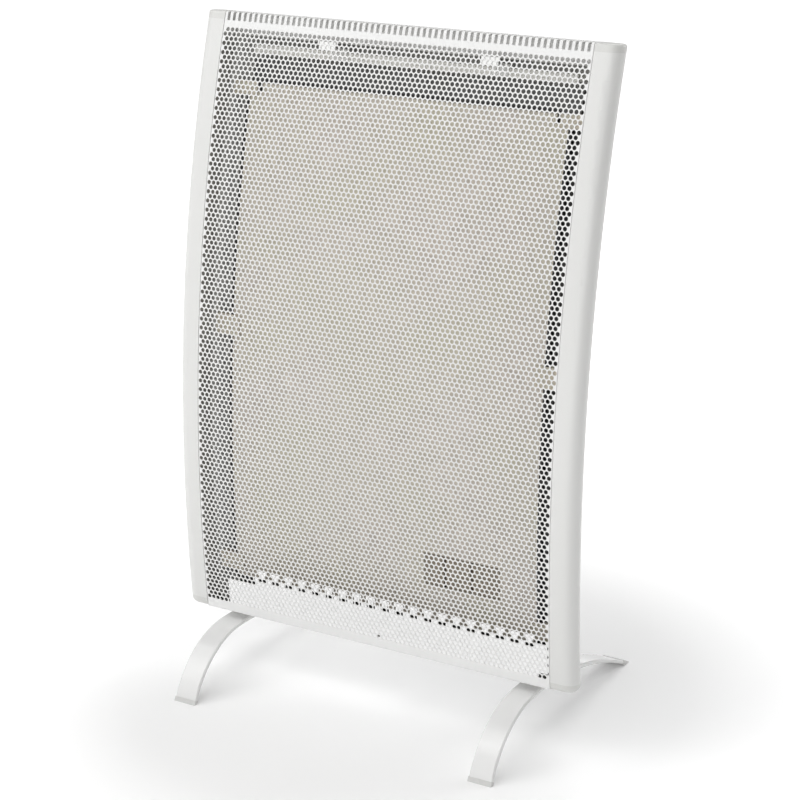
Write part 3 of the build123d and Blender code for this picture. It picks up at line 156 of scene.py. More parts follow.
def lamp_power(label, where, watts):
    """The power of a lamp, which a user may change, in watts."""
    return number(label, f"Power of the lamp {where}", watts, unit="POWER")


class HeaterSizes(bpy.types.PropertyGroup):
    """Sizes of the front sheet, and how the body stands"""

    bow: length("Bow radius", "Radius of the front, seen from the side", 1590.0)
    rise: length("Middle height", "Height of the middle of the front over the floor", 392.75)
    setback: length("Setback", "From the middle of the feet to the middle of the front", 71.05)
    lean: number("Lean", "How far the body leans back", radians(5.9), subtype="ANGLE")
    pitch: length("Hole pitch", "From hole to hole along a row", 5.5)
    hole: length("Hole radius", "Radius of each round hole", 2.25)
    drop: length("Lattice drop", "From the middle of the sheet down to that of the holes", 2.25)
    sheet: length("Sheet", "Thickness of the front sheet", 0.7)
    depth: length("Turned edge", "How far the edges of the sheet are turned back", 23.0)
    bend: length("Bend", "Radius of the bend along the top and bottom", 2.4)
    side_bend: length("Side bend", "Radius of the bend along the sides", 0.45)
    height: length("Height", "Height of the front sheet", 641.5)
    slot_pitch: length("Slot pitch", "From slot to slot along the top", 6.55)
    slot_width: length("Slot width", "Width of each slot along the top", 3.3)
    slot_drop: length("Slot drop", "How far each slot reaches down the front", 8.7)
    slot_depth: length("Slot depth", "How far each slot reaches back over the top", 13.0)
    columns: whole_number("Columns", "Holes in each row", 75, 3)
    rows: whole_number("Rows", "Rows of holes", 130, 10)
    slots: whole_number("Slots", "Slots along the top", 63, 1)


class HeaterColours(bpy.types.PropertyGroup):
    """Colours of the finishes"""

    paint: colour("Body paint", "Powder coat of the front, the back and the handle", "#EDEDEC")
    post: colour("Post paint", "Satin paint of the side posts", "#E2E2E0")
    # Own moulding colour, set darker than the post paint as painted shade for the grey tops of the
    # caps
    cap_colour_and_shade: colour("Caps", "Moulding of the caps at the ends of the posts", "#D9D9D6")
    foot: colour("Foot paint", "Gloss paint of the feet", "#E7E7E6")
    tip: colour("Foot tips", "Moulding of the foot tips", "#D3D3D1")
    mica: colour("Mica", "Pressed mica of the element", "#CFC7BD")
    ceramic: colour("Ceramic", "Steatite of the terminal block", "#9C9282")
    box: colour("Control box", "Moulding of the control box", "#DADCDC")
    fascia: colour("Fascia", "Panel that carries the controls", "#A9ADB0")
    knob: colour("Knob", "Moulding of the knob", "#E4E4E1")
    lamp: colour("Lamp", "Lens of the indicator lamp", "#D9451B")


class HeaterStage(bpy.types.PropertyGroup):
    """Floor, light and camera"""

    floor: colour("Floor", "Colour of the floor", "#F4F4F4")
    world: number("World", "Strength of the light from all round", 0.3)
    key: lamp_power("Key", "at the front left", 12.0)
    front: lamp_power("Front", "low at the front", 23.0)
    over: lamp_power("Over", "high over the front", 19.0)
    side: lamp_power("Side", "high at the left", 20.0)
    fill: lamp_power("Fill", "at the back right", 21.0)
    back: lamp_power("Back", "high at the back", 26.0)
    near: number("Floor near", "Glow of the floor by the feet, for the camera", 0.12)
    far: number("Floor far", "Glow of the floor far away, for the camera", 0.9)
    lens: number("Lens", "Focal length on a 36 mm sensor, in mm", 95.933)


def settings():
    """The three groups of settings: sizes, colours and stage."""
    scene = bpy.context.scene
    return scene.heater_sizes, scene.heater_colours, scene.heater_stage


# Shapes: points on the bowed, leaning body, and sheets with a thickness


def standing(points):
    """Places in the leaning body as places on the floor.

    Each point is (across, depth, rise). It turns by the lean about the X axis, and moves by the
    setback to the front and by the middle height up.
    """
    sizes = settings()[0]
    across, depth, rise = np.moveaxis(np.asarray(points, float), -1, 0)
    back = depth * cos(sizes.lean) + rise * sin(sizes.lean) - sizes.setback
    up = rise * cos(sizes.lean) - depth * sin(sizes.lean) + sizes.rise
    return np.stack([across, back, up], -1)


def bow_depth(layer, rise):
    """Depth of a layer of the bow at a rise: the bow radius less the height of a circle's chord."""
    bow = settings()[0].bow
    return bow - np.sqrt((bow - layer) ** 2 - rise**2)


def on_arc(across, run, layer):
    """Point of a layer of the bow at a run along the front's arc.

    The angle from the middle is the run over the bow radius; depth and rise are the cosine and
    the sine of that angle times the layer's own radius.
    """
    bow = settings()[0].bow
    angle = run / bow
    depth = bow - (bow - layer) * np.cos(angle)
    rise = (bow - layer) * np.sin(angle)
    return standing(np.stack([across, depth, rise], -1))


def sheet_piece(name, points, faces, material):
    """Make a piece that stands for the front sheet, from points and arrays of faces.

    It rides on the heater, as the sheet does.
    """
    mesh = bpy.data.meshes.new(name)
    corners = np.concatenate([group.ravel() for group in faces])
    counts = np.concatenate([np.full(len(group), group.shape[1]) for group in faces])
    mesh.vertices.add(len(points))
    mesh.vertices.foreach_set("co", np.asarray(points, np.float32).ravel())
    mesh.loops.add(len(corners))
    mesh.loops.foreach_set("vertex_index", corners.astype(np.int32))
    mesh.polygons.add(len(counts))
    mesh.polygons.foreach_set("loop_start", (np.cumsum(counts) - counts).astype(np.int32))
    mesh.polygons.foreach_set("use_smooth", np.zeros(len(counts), bool))
    mesh.update(calc_edges=True)
    mesh.materials.append(material)
    piece = bpy.data.objects.new(name, mesh)
    bpy.context.scene.collection.objects.link(piece)
    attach(piece, "heater")
    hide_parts("front_grille")


def thick_sheet(front, back, faces):
    """Close a sheet between its front and back points.

    The faces run anticlockwise seen from the front. The back has the same faces turned round, and
    each edge that only one face has gets a wall, so holes and outlines are closed alike.
    """
    count = len(front)
    starts = np.concatenate([group.ravel() for group in faces])
    ends = np.concatenate([np.roll(group, -1, 1).ravel() for group in faces])
    alone = ~np.isin(starts * count + ends, ends * count + starts)
    first, second = starts[alone], ends[alone]
    walls = np.stack([second, first, first + count, second + count], 1)
    backs = [group[:, ::-1] + count for group in faces]
    return np.concatenate([front, back]), [*faces, *backs, walls]


def joined(meshes):
    """Several point and face lists as one."""
    points = np.concatenate([mesh[0] for mesh in meshes])
    offsets = np.cumsum([0] + [len(mesh[0]) for mesh in meshes[:-1]])
    faces = [group + offset for mesh, offset in zip(meshes, offsets) for group in mesh[1]]
    return points, faces


def row_run(row):
    """Run along the front's arc from the middle of the sheet to a row of holes."""
    sizes = settings()[0]
    return ((sizes.rows - 1) / 2 - row) * (sizes.pitch * 3**0.5 / 2) - sizes.drop


def hole_rows(first, last):
    """Front sheet between two rows: a six-sided cell round each hole.

    Rows lie the pitch times half the root of three apart, and every other row is shifted by half
    a pitch. Twelve points of the cell's outline, in turn the middle of a side and a corner, face
    twelve points of the round hole. The outline is drawn out to straight lines at the top, the
    bottom and the sides of the lattice.
    """
    sizes = settings()[0]
    pitch = sizes.pitch
    rows = np.arange(first, last)
    shift = np.where(rows % 2, 0.5, 0.0)
    across = np.arange(sizes.columns)[None, :] - (sizes.columns - 1.5) / 2 - shift[:, None]
    across = across * pitch
    run = np.broadcast_to(row_run(rows)[:, None], across.shape)
    centres = np.stack([across, run], -1).reshape(-1, 2)
    spokes = np.arange(SPOKES)
    angles = np.radians(360.0 / SPOKES * spokes)
    turns = np.stack([np.cos(angles), np.sin(angles)], -1)
    reach = np.where(spokes % 2, pitch / 3**0.5, pitch / 2)
    outline = centres[:, None] + turns * reach[:, None]
    rim = centres[:, None] + turns * sizes.hole

    side = sheet_half_width() - sizes.side_bend
    notches = []
    for way in (-1, 1):
        middle = row_run(rows[(rows % 2 == 0) if way < 0 else (rows % 2 == 1)])
        inner = way * (sizes.columns - 0.5) / 2 * pitch
        steps = NOTCH_SHARES * (way * pitch / 2, pitch / 3**0.5 / 2)
        starts = np.stack([0 * middle + inner, middle], -1)
        notches.append(starts[:, None] + steps)
    flat = np.concatenate([outline.reshape(-1, 2), *[notch.reshape(-1, 2) for notch in notches]])
    last_run = row_run(0) + sizes.drop + sizes.hole / 2
    for sign in (-1, 1):
        past = sign * (flat[:, 1] + sizes.drop) > last_run
        flat[past, 1] = sign * lattice_reach() - sizes.drop
    flat[:, 0] = np.clip(flat[:, 0], -side, side)
    ends = np.abs(flat[:, 0]) > side - pitch / 8
    flat[ends, 0] = np.sign(flat[ends, 0]) * side
    rounded_off = np.round(flat / WELD)
    _, places, numbers = np.unique(rounded_off, axis=0, return_index=True, return_inverse=True)
    numbers = numbers.ravel()
    begin = len(centres) * SPOKES
    shared = numbers[:begin].reshape(-1, SPOKES)
    holes = len(places) + np.arange(begin).reshape(-1, SPOKES)
    quads = np.stack([shared, np.roll(shared, -1, 1), np.roll(holes, -1, 1), holes], -1)
    faces = [quads.reshape(-1, 4)]
    for way, notch in zip((-1, 1), notches):
        end = begin + notch.shape[0] * notch.shape[1]
        ids = numbers[begin:end].reshape(notch.shape[:2])
        begin = end
        for picked in NOTCH_FACES:
            group = ids[:, picked]
            group = group[np.all(group != np.roll(group, 1, 1), 1)]
            faces.append(group if way < 0 else group[:, ::-1])
    points = np.concatenate([flat[places], rim.reshape(-1, 2)])
    front = on_arc(points[:, 0], points[:, 1], 0.0)
    back = on_arc(points[:, 0], points[:, 1], sizes.sheet)
    return thick_sheet(front, back, faces)


def sheet_half_width():
    """Half the width of the front sheet, as the part has it."""
    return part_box("front_grille")[1].x


def lattice_reach():
    """Run from the middle to the straight line past the last row of holes."""
    sizes = settings()[0]
    return (sizes.rows - 1) / 2 * sizes.pitch * 3**0.5 / 2 + sizes.pitch / 3**0.5


def rounded(corner, before, after, radius, steps):
    """Points of the arc that rounds a corner between two neighbouring points.

    The arc touches both sides at the radius over the tangent of half the corner's angle.
    """
    corner, before, after = (np.asarray(p, float) for p in (corner, before, after))
    one = (before - corner) / np.linalg.norm(before - corner)
    two = (after - corner) / np.linalg.norm(after - corner)
    half = np.arccos(np.clip(one @ two, -1, 1)) / 2
    middle = corner + (one + two) / np.linalg.norm(one + two) * radius / np.sin(half)
    start = corner + one * radius / np.tan(half) - middle
    end = corner + two * radius / np.tan(half) - middle
    share = np.linspace(0, 1, steps)[:, None]
    sweep = np.pi - 2 * half
    arc = (np.sin((1 - share) * sweep) * start + np.sin(share * sweep) * end) / np.sin(sweep)
    return middle + arc


def turned_edge(rise_sign, slotted):
    """Band of plain sheet past the lattice, bent over and turned back, with the slots if wanted.

    The profile runs up the front's arc, round the bend and straight back. It is carried across
    the front, and the cells of the grid where a slot is are left open.
    """
    sizes = settings()[0]
    half = sizes.height / 2
    profile = []
    for layer in (0.0, sizes.sheet):
        top = half - layer
        low_run = (lattice_reach() - rise_sign * sizes.drop) / sizes.bow
        radius = sizes.bow - layer
        low = (sizes.bow - radius * np.cos(low_run), radius * np.sin(low_run))
        cut = half - sizes.slot_drop
        corner = (bow_depth(layer, top), top)
        under = (bow_depth(layer, cut), cut)
        end = (bow_depth(sizes.depth, top), top)
        slot_end = (bow_depth(0.0, half) + sizes.slot_depth, top)
        arc = rounded(corner, under, end, sizes.bend - layer, BEND_POINTS)
        profile.append(np.array([low, under, *arc, slot_end, end]))
    outer, inner = profile
    side = sheet_half_width() - sizes.side_bend
    middles = (np.arange(sizes.slots) - (sizes.slots - 1) / 2) * sizes.slot_pitch
    edges = (middles[:, None] + np.array([-0.5, 0.5]) * sizes.slot_width).ravel()
    across = np.array([-side, *edges, side])
    stations = len(outer)
    grid = np.arange(len(across) * stations).reshape(len(across), stations)
    quads = np.stack([grid[:-1, :-1], grid[1:, :-1], grid[1:, 1:], grid[:-1, 1:]], -1)
    open_cells = np.zeros(quads.shape[:2], bool)
    if slotted:
        open_cells[1::2, 1 : stations - 2] = True
    quads = quads[~open_cells]

    def carried(points):
        """The profile at each place across, mirrored to the bottom where the sign says so."""
        full = np.empty((len(across), stations, 3))
        full[..., 0] = across[:, None]
        full[..., 1] = points[:, 0]
        full[..., 2] = points[:, 1] * rise_sign
        return standing(full).reshape(-1, 3)

    faces = quads if rise_sign > 0 else quads[:, ::-1]
    return thick_sheet(carried(outer), carried(inner), [faces])


def turned_side(way):
    """Side edge of the front sheet: a small bend and a flange, carried along the front's arc."""
    sizes = settings()[0]
    half = sheet_half_width()
    steps = np.linspace(-1, 1, SIDE_STATIONS) * (sizes.height / 2 - sizes.sheet)
    profile = []
    for gap in (0.0, sizes.sheet):
        edge = half - gap
        radius = max(sizes.side_bend - gap, LEAST_BEND)
        start = half - sizes.side_bend - max(gap - sizes.side_bend, 0.0)
        arc = rounded((edge, gap), (edge - MM, gap), (edge, gap + MM), radius, SIDE_BEND_POINTS)
        start = min(start, arc[0][0] - WELD)
        profile.append(np.array([(start, gap), *arc, (edge, sizes.depth)]))
    sides = []
    for points in profile:
        across = np.broadcast_to(way * points[:, 0], (len(steps), len(points)))
        layer = np.broadcast_to(points[:, 1], (len(steps), len(points)))
        rise = np.broadcast_to(steps[:, None], across.shape)
        place = np.stack([across, bow_depth(layer, rise), rise], -1)
        sides.append(standing(place).reshape(-1, 3))
    grid = np.arange(len(steps) * len(profile[0])).reshape(len(steps), -1)
    quads = np.stack([grid[:-1, :-1], grid[:-1, 1:], grid[1:, 1:], grid[1:, :-1]], -1)
    quads = quads.reshape(-1, 4)
    return thick_sheet(*sides, [quads if way > 0 else quads[:, ::-1]])


# Materials


def add(tree, kind, inputs=None, **values):
    """Add a node, set its properties, and set or link its inputs."""
    node = tree.nodes.new(kind)
    for key, value in values.items():
        setattr(node, key, value)
    for key, value in (inputs or {}).items():
        if isinstance(value, bpy.types.NodeSocket):
            tree.links.new(value, node.inputs[key])
        else:
            node.inputs[key].default_value = value
    return node


def per_mm(size):
    """Scale of a pattern whose features are this many millimetres apart."""
    return 1.0 / (size * MM)


def shade(rgba, factor):
    """A colour made darker or lighter by a factor."""
    return (*[min(1.0, channel * factor) for channel in rgba[:3]], 1.0)


def blank(name):
    """An empty material, its nodes, and the place of each point on the part."""
    material = bpy.data.materials.new(name)
    material.use_nodes = True
    tree = material.node_tree
    tree.nodes.clear()
    return material, tree, add(tree, "ShaderNodeTexCoord").outputs["Object"]


def layered(tree, base, *layers):
    """A colour with others laid over it.

    Each layer is (pattern, reach, share, colour): the reach of the pattern is drawn out to the
    share that the layer's colour has.
    """
    for pattern, (low, high), (least, most), over in layers:
        drawn = add(
            tree,
            "ShaderNodeMapRange",
            {"Value": pattern, "From Min": low, "From Max": high, "To Min": least, "To Max": most},
        )
        mixed = {0: drawn.outputs["Result"], 6: base, 7: over}
        base = add(tree, "ShaderNodeMix", mixed, data_type="RGBA").outputs[2]
    return base


def finished(material, tree, tone, gloss=None, relief=None, constants=None):
    """Close a material with one shader that has its tone, gloss and relief.

    Gloss is (pattern, least roughness, most roughness). Relief is (pattern, strength, depth in
    millimetres).
    """
    inputs = {"Base Color": tone, **(constants or {})}
    if gloss:
        pattern, least, most = gloss
        low, high = MIDDLE
        drawn = add(
            tree,
            "ShaderNodeMapRange",
            {"Value": pattern, "From Min": low, "From Max": high, "To Min": least, "To Max": most},
        )
        inputs["Roughness"] = drawn.outputs["Result"]
    if relief:
        pattern, strength, depth = relief
        raised = {"Height": pattern, "Strength": strength, "Distance": depth * MM}
        inputs["Normal"] = add(tree, "ShaderNodeBump", raised).outputs["Normal"]
    shader = add(tree, "ShaderNodeBsdfPrincipled", inputs)
    add(tree, "ShaderNodeOutputMaterial", {"Surface": shader.outputs[0]})
    return material


def sprayed_paint(name, rgba, roughness, peel, depth, drift=0.985, coat=0.0):
    """Paint sprayed on sheet steel and baked.

    The film pulls into a faint orange peel, given by its pitch and depth in millimetres, and its
    tone and gloss drift a little over a hand's width.
    """
    material, tree, place = blank(name)
    hand = {"Vector": place, "Scale": per_mm(HAND_WIDTH), "Detail": 2.0}
    wide = add(tree, "ShaderNodeTexNoise", hand).outputs["Fac"]
    pulled = {"Vector": place, "Scale": per_mm(peel), "Detail": 1.0}
    film = add(tree, "ShaderNodeTexNoise", pulled).outputs["Fac"]
    return finished(
        material,
        tree,
        layered(tree, shade(rgba, drift), (wide, MIDDLE, WHOLE, rgba)),
        gloss=(wide, roughness * 0.92, roughness * 1.1),
        relief=(film, 0.35, depth),
        constants={"Coat Weight": coat, "Coat Roughness": 0.06},
    )


def moulded(name, rgba, roughness, grain, depth, speckle=0.97):
    """Injection-moulded plastic from an eroded mould.

    The mould leaves an even grain of small pits, given by its pitch and depth in millimetres, and
    the resin shows a trace of darker specks.
    """
    material, tree, place = blank(name)
    eroded = {"Vector": place, "Scale": per_mm(grain)}
    pits = add(tree, "ShaderNodeTexVoronoi", eroded, feature="SMOOTH_F1").outputs["Distance"]
    resin = {"Vector": place, "Scale": per_mm(grain * 3), "Detail": 3.0}
    fine = add(tree, "ShaderNodeTexNoise", resin).outputs["Fac"]
    flow = {"Vector": place, "Scale": per_mm(RESIN_FLOW), "Detail": 1.0}
    wide = add(tree, "ShaderNodeTexNoise", flow).outputs["Fac"]
    return finished(
        material,
        tree,
        layered(tree, shade(rgba, speckle), (fine, MIDDLE, WHOLE, rgba)),
        gloss=(wide, roughness * 0.9, roughness * 1.1),
        relief=(pits, 0.5, depth),
    )


def galvanised(name, rgba, roughness, spangle):
    """Hot-dip galvanised steel.

    Flat zinc crystals, a few millimetres wide, each have their own tone and gloss, under a thin
    dust that gathers over a few centimetres.
    """
    material, tree, place = blank(name)
    crystals = {"Vector": place, "Scale": per_mm(spangle)}
    each = add(tree, "ShaderNodeTexVoronoi", crystals).outputs["Color"]
    single = add(tree, "ShaderNodeSeparateColor", {"Color": each}).outputs
    settled = {"Vector": place, "Scale": per_mm(DUST_PATCH), "Detail": 4.0}
    dust = add(tree, "ShaderNodeTexNoise", settled).outputs["Fac"]
    tone = layered(
        tree,
        shade(rgba, 0.82),
        (single[0], WHOLE, WHOLE, rgba),
        (dust, MIDDLE, (0.0, 0.3), shade(rgba, 0.7)),
    )
    gloss = (single[1], roughness * 0.75, roughness * 1.2)
    return finished(material, tree, tone, gloss=gloss, constants={"Metallic": 1.0})


def rolled(name, rgba, roughness, line):
    """Cold-rolled bright sheet: fine lines drawn out along the rolling, up the sheet."""
    material, tree, place = blank(name)
    drawn = add(tree, "ShaderNodeMapping", {"Vector": place, "Scale": DRAWN_OUT}).outputs[0]
    scratched = {"Vector": drawn, "Scale": per_mm(line), "Detail": 3.0}
    lines = add(tree, "ShaderNodeTexNoise", scratched).outputs["Fac"]
    return finished(
        material,
        tree,
        layered(tree, shade(rgba, 0.9), (lines, MIDDLE, WHOLE, rgba)),
        gloss=(lines, roughness * 0.8, roughness * 1.2),
        constants={"Metallic": 1.0, "Anisotropic": 0.4},
    )


def pressed_mica(rgba):
    """Mica paper pressed with resin into a board.

    Overlapping flakes, about 12 mm wide and a few millimetres broken, show as warm grey patches
    with a pearly shine, crossed by small bright flecks. Areas about 70 mm wide, where the resin
    has aged, are yellower.
    """
    material, tree, place = blank("Pressed mica board")
    overlapping = {"Vector": place, "Scale": per_mm(FLAKE_WIDTH), "Detail": 2.0}
    flakes = add(tree, "ShaderNodeTexVoronoi", overlapping).outputs
    patch = add(tree, "ShaderNodeSeparateColor", {"Color": flakes["Color"]}).outputs
    broken = {"Vector": place, "Scale": per_mm(BROKEN_FLAKE), "Detail": 3.0}
    flecks = add(tree, "ShaderNodeTexNoise", broken).outputs["Fac"]
    areas = {"Vector": place, "Scale": per_mm(AGED_AREA), "Detail": 2.0}
    aged = add(tree, "ShaderNodeTexNoise", areas).outputs["Fac"]
    tone = layered(
        tree,
        shade(rgba, 0.86),
        (patch[0], WHOLE, WHOLE, shade(rgba, 1.08)),
        (aged, MIDDLE, (-0.2, 0.8), linear(AGED_RESIN)),
        (flecks, MIDDLE, (-0.6, 0.5), linear(BRIGHT_FLECK)),
    )
    return finished(
        material,
        tree,
        tone,
        gloss=(patch[1], 0.32, 0.5),
        relief=(flakes["Distance"], 0.3, 0.15),
        constants={"Specular IOR Level": 0.6},
    )


def glazed(name, rgba, roughness, grain):
    """Fired steatite: a smooth, slightly waxy body with tiny darker iron specks."""
    material, tree, place = blank(name)
    iron = {"Vector": place, "Scale": per_mm(grain), "Detail": 4.0}
    specks = add(tree, "ShaderNodeTexNoise", iron).outputs["Fac"]
    return finished(
        material,
        tree,
        layered(tree, shade(rgba, 0.9), (specks, MIDDLE, WHOLE, rgba)),
        gloss=(specks, roughness, roughness * 1.4),
        constants={"Subsurface Weight": 0.05},
    )


def braided(name, rgba, strand):
    """Glass-fibre sleeve: two sets of strands that cross, each strand a soft ridge."""
    material, tree, place = blank(name)
    waves = []
    for turn in (STRAND_TURN, -STRAND_TURN):
        laid = {"Vector": place, "Rotation": (0.0, turn, turn)}
        turned = add(tree, "ShaderNodeMapping", laid).outputs[0]
        ridges = {"Vector": turned, "Scale": per_mm(strand) / WAVE_RADIANS}
        waves.append(add(tree, "ShaderNodeTexWave", ridges).outputs["Fac"])
    crossed = {0: waves[0], 1: waves[1]}
    weave = add(tree, "ShaderNodeMath", crossed, operation="MAXIMUM").outputs[0]
    return finished(
        material,
        tree,
        layered(tree, shade(rgba, 0.72), (weave, WHOLE, WHOLE, rgba)),
        relief=(weave, 0.6, 0.1),
        constants={"Roughness": 0.75, "Sheen Weight": 0.2},
    )


def paint_with_painted_inner_shade(name, outer, inner, depth):
    """Sheet in its outer paint, with painted shade as a darker colour on its inner faces.

    A face counts as inner where it looks towards a place in the middle of the body, at a depth
    behind the front: the product of its normal and its way from that place is then below zero.
    Inner faces that look sideways within the sheet's edges, and those above the top rows of holes,
    are painted paler, as painted light where light reaches in.
    """
    sizes = settings()[0]
    material, tree, place = blank(name)
    middle = (0.0, depth * MM - sizes.setback, sizes.rise)
    way = add(tree, "ShaderNodeVectorMath", {0: place, 1: middle}, operation="SUBTRACT")
    normal = add(tree, "ShaderNodeTexCoord").outputs["Normal"]
    both = {0: way.outputs[0], 1: normal}
    facing = add(tree, "ShaderNodeVectorMath", both, operation="DOT_PRODUCT").outputs["Value"]
    out = add(tree, "ShaderNodeMath", {0: facing, 1: 0.0}, operation="GREATER_THAN").outputs[0]

    # Painted light mask: sideways inner faces within the edges, and faces above the top rows
    turned = add(tree, "ShaderNodeSeparateXYZ", {"Vector": normal}).outputs["X"]
    level = add(tree, "ShaderNodeMath", {0: turned}, operation="ABSOLUTE").outputs[0]
    past = {0: level, 1: SIDEWAYS}
    sideways = add(tree, "ShaderNodeMath", past, operation="GREATER_THAN").outputs[0]
    where = add(tree, "ShaderNodeSeparateXYZ", {"Vector": place}).outputs
    beside = add(tree, "ShaderNodeMath", {0: where["X"]}, operation="ABSOLUTE").outputs[0]
    side = {0: beside, 1: sheet_half_width() - 2 * sizes.sheet}
    within = add(tree, "ShaderNodeMath", side, operation="LESS_THAN").outputs[0]
    walls = add(tree, "ShaderNodeMath", {0: sideways, 1: within}, operation="MULTIPLY").outputs[0]
    low, high = PAINTED_LIGHT_RISE
    rising = {"Value": where["Z"], "From Min": low, "From Max": high}
    above = add(tree, "ShaderNodeMapRange", rising).outputs["Result"]
    painted_light_faces = add(tree, "ShaderNodeMath", {0: walls, 1: above}, operation="MAXIMUM").outputs[0]

    cloudy = {"Vector": place, "Scale": per_mm(PAINT_CLOUD), "Detail": 3.0}
    wide = add(tree, "ShaderNodeTexNoise", cloudy).outputs["Fac"]
    pulled = {"Vector": place, "Scale": per_mm(THIN_PEEL), "Detail": 1.0}
    fine = add(tree, "ShaderNodeTexNoise", pulled).outputs["Fac"]
    # Painted shade on inner faces, lifted to the outer paint where the painted light mask is set
    shaded_inner_tone = layered(
        tree,
        shade(inner, 0.85),
        (wide, MIDDLE, WHOLE, inner),
        (painted_light_faces, WHOLE, WHOLE, shade(outer, 0.97)),
    )
    light = layered(tree, shade(outer, 0.985), (wide, MIDDLE, WHOLE, outer))
    return finished(
        material,
        tree,
        layered(tree, shaded_inner_tone, (out, WHOLE, WHOLE, light)),
        gloss=(wide, 0.42, 0.5),
        relief=(fine, 0.35, 0.02),
    )


def dress(material, *names):
    """Give CAD nodes their finish."""
    for name in names:
        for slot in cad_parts[name].material_slots:
            slot.material = material


def every(*words):
    """Names of the CAD nodes that contain one of the words."""
    return sorted(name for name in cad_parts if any(word in name for word in words))


# Operators


class StageOperator(bpy.types.Operator):
    """Lay the floor, hang the lamps and set the camera"""

    bl_idname = "heater.stage"
    bl_label = "Stage"

    def execute(self, context):
        stage = settings()[2]
        self.floor(stage)
        self.world(context, stage)
        for name, (size, turn, rise) in LAMPS.items():
            self.lamp(name.title(), getattr(stage, name), size, radians(turn), radians(rise))
        self.camera(context, stage)
        return {"FINISHED"}

    def floor(self, stage):
        """A wide plain floor that the camera sees as white, with the object's shadow kept.

        Its glow is for the camera and for reflections alone, and it lights nothing.
        """
        mesh = bpy.data.meshes.new("studio_floor")
        reach = FLOOR_REACH
        corners = [(-reach, -reach, 0), (reach, -reach, 0), (reach, reach, 0), (-reach, reach, 0)]
        mesh.from_pydata(corners, [], [(0, 1, 2, 3)])
        material, tree, place = blank("Matt floor paper")
        fibrous = {"Vector": place, "Scale": per_mm(PAPER_FIBRE), "Detail": 3.0}
        fibre = add(tree, "ShaderNodeTexNoise", fibrous).outputs["Fac"]
        tone = layered(tree, shade(stage.floor, 0.99), (fibre, MIDDLE, WHOLE, stage.floor))
        paper = add(tree, "ShaderNodeBsdfPrincipled", {"Base Color": tone, "Roughness": 0.9})
        path = add(tree, "ShaderNodeLightPath").outputs
        rays = {0: path["Is Camera Ray"], 1: path["Is Glossy Ray"]}
        seen = add(tree, "ShaderNodeMath", rays, operation="MAXIMUM").outputs[0]
        away = add(tree, "ShaderNodeVectorMath", {0: place}, operation="LENGTH")
        low, high = GLOW_REACH
        rising = {
            "Value": away.outputs["Value"],
            "From Min": low,
            "From Max": high,
            "To Min": stage.near,
            "To Max": stage.far,
        }
        level = add(tree, "ShaderNodeMapRange", rising).outputs["Result"]
        lift = add(tree, "ShaderNodeMath", {0: seen, 1: level}, operation="MULTIPLY").outputs[0]
        glow = add(tree, "ShaderNodeEmission", {"Color": WHITE, "Strength": lift})
        both = add(tree, "ShaderNodeAddShader", {0: paper.outputs[0], 1: glow.outputs[0]})
        add(tree, "ShaderNodeOutputMaterial", {"Surface": both.outputs[0]})
        mesh.materials.append(material)
        floor = bpy.data.objects.new("studio_floor", mesh)
        bpy.context.scene.collection.objects.link(floor)

    def world(self, context, stage):
        """A plain bright room: white where the camera looks, softer where it lights the object."""
        world = bpy.data.worlds.new("Plain room")
        context.scene.world = world
        world.use_nodes = True
        tree = world.node_tree
        tree.nodes.clear()
        seen = add(tree, "ShaderNodeLightPath").outputs["Is Camera Ray"]
        chosen = {"Value": seen, "To Min": stage.world, "To Max": 1.0}
        strength = add(tree, "ShaderNodeMapRange", chosen).outputs["Result"]
        room = {"Color": WHITE, "Strength": strength}
        back = add(tree, "ShaderNodeBackground", room).outputs[0]
        add(tree, "ShaderNodeOutputWorld", {"Surface": back})

    def lamp(self, name, power, size, turn, rise):
        """A square soft lamp that looks at the middle of the object.

        It hangs at one angle round from the front towards the right, and at another over the floor.
        """
        light = bpy.data.lights.new(name, "AREA")
        light.energy = power
        light.size = size
        lamp = bpy.data.objects.new(name, light)
        bpy.context.scene.collection.objects.link(lamp)
        way = np.array([sin(turn) * cos(rise), -cos(turn) * cos(rise), sin(rise)])
        lamp.location = LAMP_AIM + LAMP_REACH * way
        lamp.rotation_euler = Vector(way).to_track_quat("Z", "Y").to_euler()

    def camera(self, context, stage):
        """The camera of the photograph: a long lens, to the right of the front and a bit above."""
        data = bpy.data.cameras.new("Photograph")
        data.lens = stage.lens
        data.sensor_width = SENSOR_WIDTH
        camera = bpy.data.objects.new("Photograph", data)
        context.scene.collection.objects.link(camera)
        camera.location = CAMERA_PLACE
        camera.rotation_euler = [radians(angle) for angle in CAMERA_TURN]
        context.scene.camera = camera


class GrilleOperator(bpy.types.Operator):
    """Make the front sheet with its fine round holes and the slots along its top"""

    bl_idname = "heater.front_grille"
    bl_label = "Front grille"

    def execute(self, context):
        sizes, colours = settings()[:2]
        outside = tuple(colours.paint)
        paint = sprayed_paint("White powder coat", outside, roughness=0.45, peel=1.6, depth=0.012)
        names = ("top", "upper", "middle", "lower", "bottom")
        bounds = np.linspace(0, sizes.rows, len(names) + 1).round().astype(int)
        for name, first, last in zip(names, bounds[:-1], bounds[1:]):
            sheet_piece(f"front_grille_{name}", *hole_rows(first, last), paint)
        edges = joined(
            [turned_edge(1, True), turned_edge(-1, False), turned_side(-1), turned_side(1)]
        )
        # Painted shade: the colour of the inner faces of the sheet's edges
        inner_shade = linear("#A3A29F")
        bent = paint_with_painted_inner_shade("Powder-coated edges", outside, inner_shade, depth=12.0)
        sheet_piece("front_grille_edges", *edges, bent)
        return {"FINISHED"}


